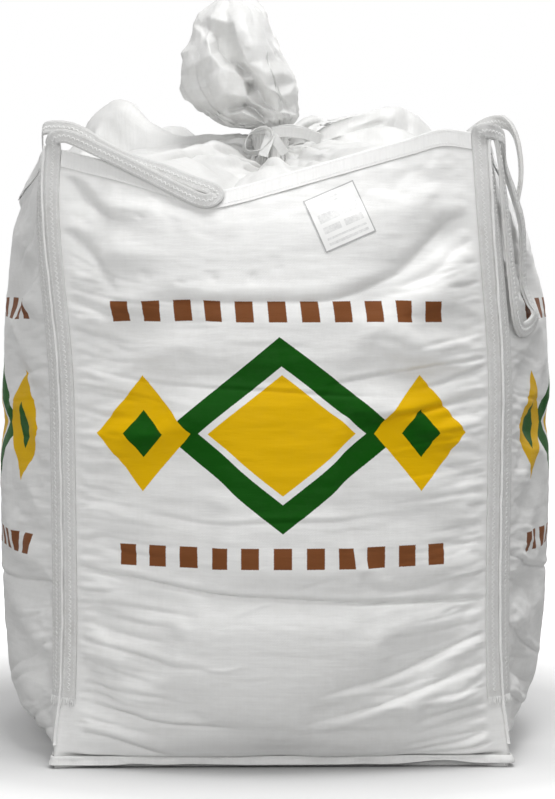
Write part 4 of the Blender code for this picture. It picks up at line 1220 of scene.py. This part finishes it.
def sewAlong(rows, fine, fresh, share, pitch, thickness, lift=0.0003, swing=0.0):
    # Stitches along the outer wide side of a strip, at a share of its width; a zigzag has
    # a swing to either side
    margin = 0.01
    outerLeft, outerRight = fine[:, 3], fine[:, 2]
    inner = (fine[:, 0] + fine[:, 1]) / 2
    normals = (outerLeft + outerRight) / 2 - inner
    normals = normals / np.linalg.norm(normals, axis=1, keepdims=True)
    count = int((fresh[-1] - margin - margin) / pitch)

    def at(distance, across):
        k = min(int(np.searchsorted(fresh, distance)), len(fresh) - 1)
        j = max(k - 1, 0)
        span = fresh[k] - fresh[j]
        t = 0.0 if span <= 0 else (distance - fresh[j]) / span
        left = outerLeft[j] * (1 - t) + outerLeft[k] * t
        right = outerRight[j] * (1 - t) + outerRight[k] * t
        return left * (1 - across) + right * across + normals[k] * lift, normals[k]

    for k in range(count):
        a = margin + k * pitch
        if swing:
            sign = 1 if k % 2 else -1
            first, normal = at(a, share - sign * swing)
            second, normal = at(a + pitch, share + sign * swing)
        else:
            first, normal = at(a + 0.12 * pitch, share)
            second, normal = at(a + 0.80 * pitch, share)
        rows.add(first, second, normal, thickness)


# Corner seams and hems

corners = (("front_left", -1, -1), ("front_right", 1, -1), ("back_right", 1, 1), ("back_left", -1, 1))
seams = {"step": 0.010, "ridgeThread": 0.0011, "pitch": 0.0075, "halfStitch": 0.0018, "standOut": 0.0034,
         "round": 0.0009}
hems = {"step": 0.008, "crinkle": 0.0012, "stitch": 0.006, "thread": 0.0010, "rows": (0.12, 0.80)}
# bulge is a place across where the base hem's lower edge curls up most: x, height and width
baseHem = {"step": 0.008, "broadWave": 0.0045, "fineWave": 0.0025, "curl": 0.0074, "curlWave": 0.0018,
           "bulge": (0.31, 0.0070, 0.06)}


def crinkled(amount, seed, size=0.03):
    def shape(grid, fresh):
        outward = levelled(grid.mean(axis=1, keepdims=True))
        noise = latticeNoise(grid[..., 2] / size * 0.7 + 3, fresh[:, None] / size + 7, seed)
        return grid + outward * (np.maximum(noise, -0.25) * amount)[..., None]
    return shape


def makeHems():
    rows = ThreadRows()
    panels = (("front", (-1, 0, 0), (-0.425, -0.46, 1.17)), ("right", (0, -1, 0), (0.44, -0.40, 1.20)),
              ("back", (1, 0, 0), (0.38, 0.46, 1.19)), ("left", (0, 1, 0), (-0.50, 0.40, 1.18)))
    for name, capNormal, near in panels:
        sections = outwardRails(nodeRails("rim_hem_" + name, 4, capNormal, near, 0.12))
        thing, fine, fresh = sweepStrip("rimHem_" + name, sections, hems["step"], wide=5,
                                        shape=crinkled(hems["crinkle"], 51))
        finishPiece(thing, ["rim_hem_" + name], hemCloth, 40)
        for share in hems["rows"]:
            sewAlong(rows, fine, fresh, share, hems["stitch"], hems["thread"], lift=0.0009)
    rows.make("hemStitches")


def baseHemSections():
    # The CAD's lower and upper rings, each an inner and an outer one
    joined = nodeMesh("base_hem")
    points = np.array([vert.co[:] for vert in joined.verts])
    joined.free()
    upper = points[:, 2] > sack["baseHem"] / 2
    rings = []
    for part in (points[~upper], points[upper]):
        part = part[np.argsort(np.arctan2(part[:, 1], part[:, 0]))]
        # Inner and outer points alternate at nearly one angle
        pairs = [sorted((part[k], part[k + 1]), key=lambda point: np.linalg.norm(point[:2]))
                 for k in range(0, len(part), 2)]
        rings.append(np.array(pairs))
    low, high = rings
    return np.stack([low[:, 0], high[:, 0], high[:, 1], low[:, 1]], axis=1)


def curledUp(grid, fresh):
    # The base hem waves in and out, and its lower edge curls off the floor
    up = smoothStep(grid[..., 2], 0.001, 0.012)
    along = fresh[:, None] + 0 * grid[..., 2]
    wave = latticeNoise(along / 0.055, grid[..., 2] / 0.03, 61)
    fine = latticeNoise(along / 0.016, grid[..., 2] / 0.02, 62)
    amount = baseHem["broadWave"] * np.maximum(wave, -0.2) + baseHem["fineWave"] * fine
    grid = grid + levelled(grid) * (amount * (0.35 + 0.65 * up))[..., None]
    place, height, width = baseHem["bulge"]
    bulge = height * np.exp(-((grid[..., 0] - place) / width) ** 2) * (grid[..., 1] < 0)
    curl = baseHem["curl"] + baseHem["curlWave"] * wave + bulge
    grid[..., 2] += curl * (1 - smoothStep(grid[..., 2], 0.0, 0.022))
    return grid


def makeBaseHem():
    thing = sweepStrip("baseHem", baseHemSections(), baseHem["step"], wide=4, closed=True, shape=curledUp)[0]
    finishPiece(thing, ["base_hem"], hemCloth, 45)


def makeSeams():
    rows = ThreadRows()
    for name, x, y in corners:
        sections = nodeRails("corner_seam_" + name, 5, (0, 0, -1), (0.44 * x, 0.44 * y, 0.045))
        places = chordPlaces(sections)
        fresh = np.linspace(0, places[-1], int(places[-1] / seams["step"]))
        fine = refine(sections, places, fresh)
        middle = fine.mean(axis=1)
        # A wavy doubled edge
        chance = np.random.default_rng(70 + 2 * x + y)
        sway = 0.0007 * np.sin(fresh / 0.021 + chance.uniform(0, 6))
        sway = sway + 0.0005 * np.sin(fresh / 0.009 + chance.uniform(0, 6))
        sideways = np.array([-y, x, 0.0]) / 2 ** 0.5
        fine = fine + sway[:, None, None] * sideways
        rowCount, columns = fine.shape[:2]
        faces = ringFaces(rowCount, columns)
        uvs = []
        for row in range(rowCount - 1):
            for k in range(columns):
                uvs += quadUvs(k * 0.004, (k + 1) * 0.004, fresh[row], fresh[row + 1])
        faces += [tuple(range(columns)), tuple((rowCount - 1) * columns + k for k in range(columns))]
        uvs += [(0.0, 0.0)] * (2 * columns)
        thing = meshObject("seamRidge_" + name, fine.reshape(-1, 3), faces, uvs)
        useOnly(thing)
        bevel = thing.modifiers.new("round", "BEVEL")
        bevel.width = seams["round"]
        bevel.segments = 2
        bevel.angle_limit = math.radians(25)
        bpy.ops.object.modifier_apply(modifier="round")
        turnOutward(thing)
        finishPiece(thing, ["corner_seam_" + name], hemCloth, 50)
        # Overlock thread slants over the ridge
        outward = np.array([x, y, 0.0]) / 2 ** 0.5
        far = middle + outward * seams["standOut"]
        pitch, half = seams["pitch"], sideways * seams["halfStitch"]
        for k in range(int(fresh[-1] / pitch) - 1):
            a, b = [np.array([np.interp(place * pitch, fresh, far[:, axis]) for axis in range(3)])
                    for place in (k, k + 0.7)]
            rows.add(a - half, b + half, outward, seams["ridgeThread"])
    rows.make("seamStitches")


makeHems()
makeBaseHem()
makeSeams()
print("hems and seams made")


# Lifting loops

loops = {"step": 0.006, "thread": 0.0021, "zigzag": 0.0095, "swing": 0.12, "edgeStitch": 0.0075,
         "edgeRows": (0.16, 0.84), "edgeThread": 0.45, "frayed": 18, "frayLengths": (0.011, 0.023),
         "foldMove": (0.0, 0.008, -0.012), "foldEdge": -0.456,
         "spread": {"front_left": 1.2, "front_right": 1.35, "back_right": 1.3, "back_left": 1.3}}


def widen(sections, spread):
    # The webbing opens out a little where it is folded double
    middle = sections.mean(axis=1)
    thick = np.linalg.norm(sections[:, 3] - sections[:, 0], axis=1)
    factor = 1 + (spread - 1) * np.clip((thick - 0.003) / 0.005, 0, 1)
    wide = sections[:, 1] - sections[:, 0]
    wide = wide / np.linalg.norm(wide, axis=1, keepdims=True)
    along = ((sections - middle[:, None]) * wide[:, None]).sum(axis=2)
    return sections + ((factor - 1)[:, None] * along)[..., None] * wide[:, None]


def foldBehind(sections):
    # The far side of the folded loop lies behind the near one at the corner
    arc = chordPlaces(sections)
    near = smoothStep(arc, 1.02, 1.09) * (1 - smoothStep(arc, 1.28, 1.42))
    sections = sections + near[:, None, None] * np.array(loops["foldMove"])
    sections[..., 0] += 0.75 * near[:, None] * np.maximum(loops["foldEdge"] - sections[..., 0], 0)
    return sections


def fray(rows, section, along, seed):
    # Loose threads at a cut end of the webbing
    chance = np.random.default_rng(seed)
    outward = (section[2] + section[3] - section[0] - section[1]) / 2
    outward = outward / np.linalg.norm(outward)
    wide = section[2] - section[3]
    for k in range(loops["frayed"]):
        start = section[3] + wide * (k + chance.uniform(0.1, 0.9)) / loops["frayed"] - along * 0.003
        lean = wide * chance.uniform(-0.12, 0.12) + outward * chance.uniform(0.0, 0.004)
        end = start + along * chance.uniform(*loops["frayLengths"]) + lean
        rows.add(start, end, outward, loops["thread"] * 0.8)


def makeLoops():
    rows = ThreadRows()
    for name, x, y in corners:
        near = (0.440 * x, 0.414 * y, 0.135)
        sections = outwardRails(nodeRails("lift_loop_" + name, 4, (0, 0, -1), near, 0.022))
        sections = widen(sections, loops["spread"][name])
        if name == "front_left":
            sections = foldBehind(sections)
        thing, fine, fresh = sweepStrip("liftLoop_" + name, sections, loops["step"], notchFrom=0.0035,
                                        shape=crinkled(0.0005, 81, 0.012))
        finishPiece(thing, ["lift_loop_" + name], greyWebbing, 50)
        print("loop", name, "length", round(fresh[-1], 3), "sections", len(sections))
        sewAlong(rows, fine, fresh, 0.5, loops["zigzag"] / 2, loops["thread"], swing=loops["swing"])
        for share in loops["edgeRows"]:
            sewAlong(rows, fine, fresh, share, loops["edgeStitch"], loops["thread"] * loops["edgeThread"])
        for end, inside in ((0, 2), (-1, -3)):
            along = fine[end].mean(axis=0) - fine[inside].mean(axis=0)
            fray(rows, fine[end], along / np.linalg.norm(along), 90 + x + 3 * y + end)
    rows.make("webbingStitches")


makeLoops()
print("loops made")


# Neck tie: places are measured from the knot, and each tape has its path, the directions
# across it and its share of the ribbon's width

tie = {"width": 0.024, "thick": 0.0016, "knot": (-0.015, -0.0465, 1.246), "collar": 0.012,
       "neckRadius": 0.0375, "knotSize": 0.017, "cup": 0.001, "waver": 0.0006,
       "tieRightBow": ([(0.004, -0.006, 0.001), (0.030, -0.013, 0.003), (0.062, -0.015, 0.000),
                        (0.092, -0.012, -0.008), (0.104, -0.004, -0.012), (0.099, 0.004, -0.009),
                        (0.075, 0.008, 0.001), (0.040, 0.005, 0.008), (0.006, 0.000, 0.004)],
                       [(0, -0.2, 1), (0.05, -0.35, 1), (0.05, -0.4, 1), (0.1, -0.45, 1), (0.2, -0.5, 1),
                        (0.1, -0.5, 1), (0.05, -0.4, 1), (0.05, -0.35, 1), (0, -0.3, 1)], 0.92),
       "tieLeftTail": ([(-0.001, -0.006, -0.004), (-0.005, -0.012, -0.016), (-0.011, -0.016, -0.032),
                        (-0.016, -0.017, -0.048)],
                       [(1, -0.2, 0.1), (1, -0.35, -0.2), (1, -0.45, -0.25), (1, -0.5, -0.25)], 0.9),
       "tieRightTail": ([(0.003, -0.006, -0.004), (0.010, -0.012, -0.015), (0.020, -0.015, -0.029),
                         (0.030, -0.014, -0.042)],
                        [(1, 0.1, 0.5), (0.9, -0.35, 0.55), (0.8, -0.5, 0.55), (0.8, -0.5, 0.6)], 0.85)}


def ribbon(path, sides, width):
    # Sections of a flat tape along a path; sides point across the tape
    path, sides = np.array(path, dtype=float), np.array(sides, dtype=float)
    places = chordPlaces(path)
    fresh = np.linspace(0, places[-1], max(6, int(places[-1] / 0.003)))
    line, across = refine(path, places, fresh), refine(sides, places, fresh)
    along = np.gradient(line, axis=0)
    along /= np.linalg.norm(along, axis=1, keepdims=True)
    across -= along * (across * along).sum(axis=1, keepdims=True)
    across /= np.linalg.norm(across, axis=1, keepdims=True)
    half, lift = across * width / 2, np.cross(along, across) * tie["thick"] / 2
    return np.stack([line - half - lift, line + half - lift, line + half + lift, line - half + lift], axis=1)


def tieShape(grid, fresh):
    # Cups a tape across and lets its edges waver
    middle = grid.mean(axis=1, keepdims=True)
    reach = np.linalg.norm(grid - middle, axis=2)
    reach = reach / reach.max(axis=1, keepdims=True)
    wide = grid[:, 5] - grid[:, 0]
    out = np.cross(np.gradient(middle[:, 0], axis=0), wide)
    out = out / np.maximum(np.linalg.norm(out, axis=1, keepdims=True), 1e-9)
    wave = tie["waver"] * np.sin(fresh / 0.0065 + 1.0)[:, None]
    return grid + out[:, None] * (tie["cup"] * (reach ** 2 - 0.4) + wave * reach)[..., None]


def makeTape(name, path, sides, share):
    sections = ribbon(np.array(tie["knot"]) + np.array(path), sides, tie["width"] * share)
    thing = sweepStrip(name, sections, 0.003, wide=5, shape=tieShape)[0]
    finishPiece(thing, ["neck_tie"], satinTape, 40)


def makeTurns():
    # Two tight turns round the neck, drawn narrow
    for level, tilt in ((0.0035, 0.05), (-0.0035, -0.04)):
        turn = []
        for k in range(40):
            a = 2 * math.pi * k / 40
            reach = tie["neckRadius"] + 0.0009 * math.sin(5 * a) + 0.0012 * (level > 0)
            turn.append((math.cos(a) * reach, math.sin(a) * reach - tie["knot"][1],
                         level + tilt * math.cos(a) * 0.03 + 0.006))
        turn = np.array(turn + turn[:1])
        sides = np.tile([0.0, 0.0, 1.0], (len(turn), 1))
        sections = ribbon(np.array(tie["knot"]) + turn, sides, tie["collar"] * 0.72)
        thing = sweepStrip("tieTurn", sections[:-1], 0.004, wide=3, closed=True)[0]
        finishPiece(thing, ["neck_tie"], satinTape, 40)


def makeKnot():
    # Wrapped tape: a squat cube with rounded, pinched sides
    knot = np.array(tie["knot"])
    bpy.ops.object.select_all(action="DESELECT")
    bpy.ops.mesh.primitive_cube_add(size=tie["knotSize"], location=knot)
    wrap = bpy.context.object
    wrap.name = "tieKnot"
    bpy.ops.object.mode_set(mode="EDIT")
    bpy.ops.mesh.select_all(action="SELECT")
    bpy.ops.mesh.subdivide(number_cuts=3, smoothness=0.9)
    bpy.ops.transform.resize(value=(0.85, 0.8, 1.05), center_override=knot)
    bpy.ops.transform.rotate(value=0.35, orient_axis="Y", center_override=knot)
    bpy.ops.object.mode_set(mode="OBJECT")
    for vert in wrap.data.vertices:
        pinch = math.sin(vert.co.x * 900) * 0.0009
        wrinkle = 0.0006 / max(vert.co.length, 1e-4) * math.cos(vert.co.z * 700)
        vert.co *= 1 + wrinkle + pinch * 40 * 0.4
    smooth = wrap.modifiers.new("smooth", "SUBSURF")
    smooth.levels = smooth.render_levels = 2
    bpy.ops.object.modifier_apply(modifier="smooth")
    bpy.ops.object.transform_apply(location=True, rotation=True, scale=True)
    turnOutward(wrap)
    finishPiece(wrap, ["neck_tie"], satinTape)


def makeTie():
    makeTurns()
    makeKnot()
    # Left bow: an open ring seen edge on, turned a little to show its inside
    ring, ringSides = [], []
    lean = math.radians(26)
    for k in range(21):
        a = math.radians(28) + 2 * math.pi * k / 20 * 0.97
        along, up = 0.030 * math.cos(a) - 0.030, 0.0235 * math.sin(a)
        ring.append((along * math.cos(lean) - up * math.sin(lean) * 0.3, -0.009 - 0.004 * math.sin(a),
                     along * math.sin(lean) + up * math.cos(lean) - 0.002))
        ringSides.append((0.16, -0.93, 0.30 + 0.10 * math.cos(a)))
    ring[0] = ring[-1] = (-0.003, -0.005, 0.001)
    makeTape("tieLeftBow", ring, ringSides, 0.95)
    # Right bow: pressed nearly flat, its opening at the far end; the tails hang from the
    # knot in an upside down V
    for name in ("tieRightBow", "tieLeftTail", "tieRightTail"):
        makeTape(name, *tie[name])


makeTie()
print("tie made")


# Label

label = {"width": 0.104, "height": 0.106, "middle": (0.108, 1.068), "turn": 23.5, "cells": 16,
         "stand": 0.0007, "thick": 0.0005, "curl": 0.0010}


def makeLabel():
    # Laid on the front panel by casting its grid back onto the cloth
    tree = BVHTree.FromObject(sackPiece, bpy.context.evaluated_depsgraph_get())
    c, d = math.cos(math.radians(label["turn"])), math.sin(math.radians(label["turn"]))
    cells = label["cells"]
    under, over = [], []
    for j in range(cells + 1):
        for k in range(cells + 1):
            a = (k / cells - 0.5) * label["width"]
            b = (j / cells - 0.5) * label["height"]
            origin = Vector((label["middle"][0] + a * c - b * d, -1.5, label["middle"][1] + a * d + b * c))
            hit, normal = tree.ray_cast(origin, Vector((0, 1, 0)))[:2]
            edge = max(abs(k / cells - 0.5), abs(j / cells - 0.5)) * 2
            wave = 1 + math.sin(9 * a / label["width"] + 5 * b / label["height"])
            curl = label["curl"] * max(0.0, edge - 0.8) * wave
            under.append(hit + normal * (label["stand"] + curl))
            over.append(hit + normal * (label["stand"] + label["thick"] + curl))
    points = np.array([point[:] for point in under + over])
    count = (cells + 1) ** 2
    faces, uvs = [], []
    for j in range(cells):
        for k in range(cells):
            a = j * (cells + 1) + k
            quad = (a, a + 1, a + cells + 2, a + cells + 1)
            places = quadUvs(k / cells, (k + 1) / cells, j / cells, (j + 1) / cells)
            faces += [tuple(count + v for v in quad), tuple(reversed(quad))]
            uvs += places + places[::-1]
    border = list(range(cells)) + [cells + j * (cells + 1) for j in range(cells)]
    border += [count - 1 - k for k in range(cells)] + [(cells - j) * (cells + 1) for j in range(cells)]
    for k, start in enumerate(border):
        end = border[(k + 1) % len(border)]
        faces.append((start, end, count + end, count + start))
        uvs += [(0.0, 0.0)] * 4
    thing = meshObject("documentLabel", points, faces, uvs)
    finishPiece(thing, ["document_label"], labelFilm, 40)


makeLabel()
print("label made")


# Studio and camera. A lamp has its place, the point it looks at, its size and its power; a
# fade has two measures and the values that it goes between

studio = {"floor": 14.0, "paper": ((0.84, 0.84, 0.84), (0.86, 0.86, 0.86)), "thrownBack": (0.50, 0.50, 0.50),
          # Painted shadow in the floor's colour under the bag: how far the occlusion reaches, its samples,
          # the shadow's colour, and how strongly it darkens from in front of the bag to further back
          "paintedShadowReach": 0.30, "paintedShadowSamples": 12, "paintedShadowDark": (0.02, 0.02, 0.02),
          "paintedShadowFade": (-0.46, -0.20, 0.50, 0.12), "glowFade": (0.75, 1.7, 0.07, 0.8), "worldLight": 0.34,
          "softTop": ((0.7, -1.35, 5.1), (0, 0, 0.9), 2.6, 151.0),
          "softFront": ((-1.4, -5.4, 2.2), (0, 0, 0.6), 2.4, 92.0),
          "softBack": ((2.4, 5.6, 2.6), (0, 0, 0.6), 2.4, 55.0),
          "cameraPlace": (-0.100, -5.45, 1.0), "pitch": 3.24, "turn": 1.05, "lens": 117.15}


def fade(tree, value, ends):
    node = tree.nodes.new("ShaderNodeMapRange")
    for socket, end in zip(list(node.inputs)[1:5], ends):
        socket.default_value = end
    tree.links.new(value, node.inputs[0])
    return node.outputs[0]


def makeFloor():
    # The camera sees white paper; what the paper throws back on the bag is less
    bpy.ops.object.select_all(action="DESELECT")
    bpy.ops.mesh.primitive_plane_add(size=studio["floor"], location=(0, 0, 0))
    floor = bpy.context.object
    floor.name = "studioFloor"
    material, tree, shader = newMaterial("palePaper", 0.9, 0.2)
    do = maths(tree)
    place = coordinate(tree, "Object")
    seen = tree.nodes.new("ShaderNodeLightPath").outputs["Is Camera Ray"]
    paper = mixColor(tree, noiseNode(tree, place, 3.0, 2.0), *studio["paper"])
    # Painted shadow: the paper's colour darkens by ambient occlusion where the bag stands close over it,
    # most in front of the bag
    paintedShadowOcclusion = tree.nodes.new("ShaderNodeAmbientOcclusion")
    paintedShadowOcclusion.samples = studio["paintedShadowSamples"]
    paintedShadowOcclusion.inputs["Distance"].default_value = studio["paintedShadowReach"]
    power = fade(tree, separated(tree, place)[1], studio["paintedShadowFade"])
    shade = do("POWER", paintedShadowOcclusion.outputs["AO"], power)
    shaded = mixColor(tree, shade, studio["paintedShadowDark"], paper)
    tree.links.new(mixColor(tree, seen, studio["thrownBack"], shaded), shader.inputs["Base Color"])
    # A glow that grows away from the bag takes the paper up to white
    reach = tree.nodes.new("ShaderNodeVectorMath")
    reach.operation = "LENGTH"
    tree.links.new(place, reach.inputs[0])
    glow = do("MULTIPLY", seen, fade(tree, reach.outputs["Value"], studio["glowFade"]))
    shader.inputs["Emission Color"].default_value = (1, 1, 1, 1)
    tree.links.new(do("MULTIPLY", glow, shade), shader.inputs["Emission Strength"])
    floor.data.materials.append(material)


def makeWorld():
    # White where it is seen or mirrored, dimmer as a light
    world = bpy.data.worlds.new("studioWorld")
    scene.world = world
    world.use_nodes = True
    tree = world.node_tree
    tree.nodes.clear()
    output = tree.nodes.new("ShaderNodeOutputWorld")
    path = tree.nodes.new("ShaderNodeLightPath")
    mix = tree.nodes.new("ShaderNodeMixShader")
    seen = maths(tree)("ADD", path.outputs["Is Camera Ray"], path.outputs["Is Glossy Ray"], clamp=True)
    tree.links.new(seen, mix.inputs[0])
    for socket, strength in ((mix.inputs[1], studio["worldLight"]), (mix.inputs[2], 1.0)):
        background = tree.nodes.new("ShaderNodeBackground")
        background.inputs["Color"].default_value = (1, 1, 1, 1)
        background.inputs["Strength"].default_value = strength
        tree.links.new(background.outputs[0], socket)
    tree.links.new(mix.outputs[0], output.inputs[0])


def makeLamps():
    for name in ("softTop", "softFront", "softBack"):
        place, target, size, power = studio[name]
        lamp = bpy.data.lights.new(name, "AREA")
        lamp.size = size
        lamp.energy = power
        thing = bpy.data.objects.new(name, lamp)
        scene.collection.objects.link(thing)
        thing.location = place
        thing.rotation_euler = (Vector(target) - Vector(place)).to_track_quat("-Z", "Y").to_euler()


def makeCamera():
    eye = bpy.data.cameras.new("camera")
    eye.sensor_width = 36
    eye.lens = studio["lens"]
    eye.clip_end = 60
    thing = bpy.data.objects.new("camera", eye)
    scene.collection.objects.link(thing)
    thing.location = studio["cameraPlace"]
    thing.rotation_euler = (math.radians(90 - studio["pitch"]), 0, math.radians(-studio["turn"]))
    scene.camera = thing
    scene.view_settings.view_transform = "Standard"


makeFloor()
makeWorld()
makeLamps()
makeCamera()
print("studio made")
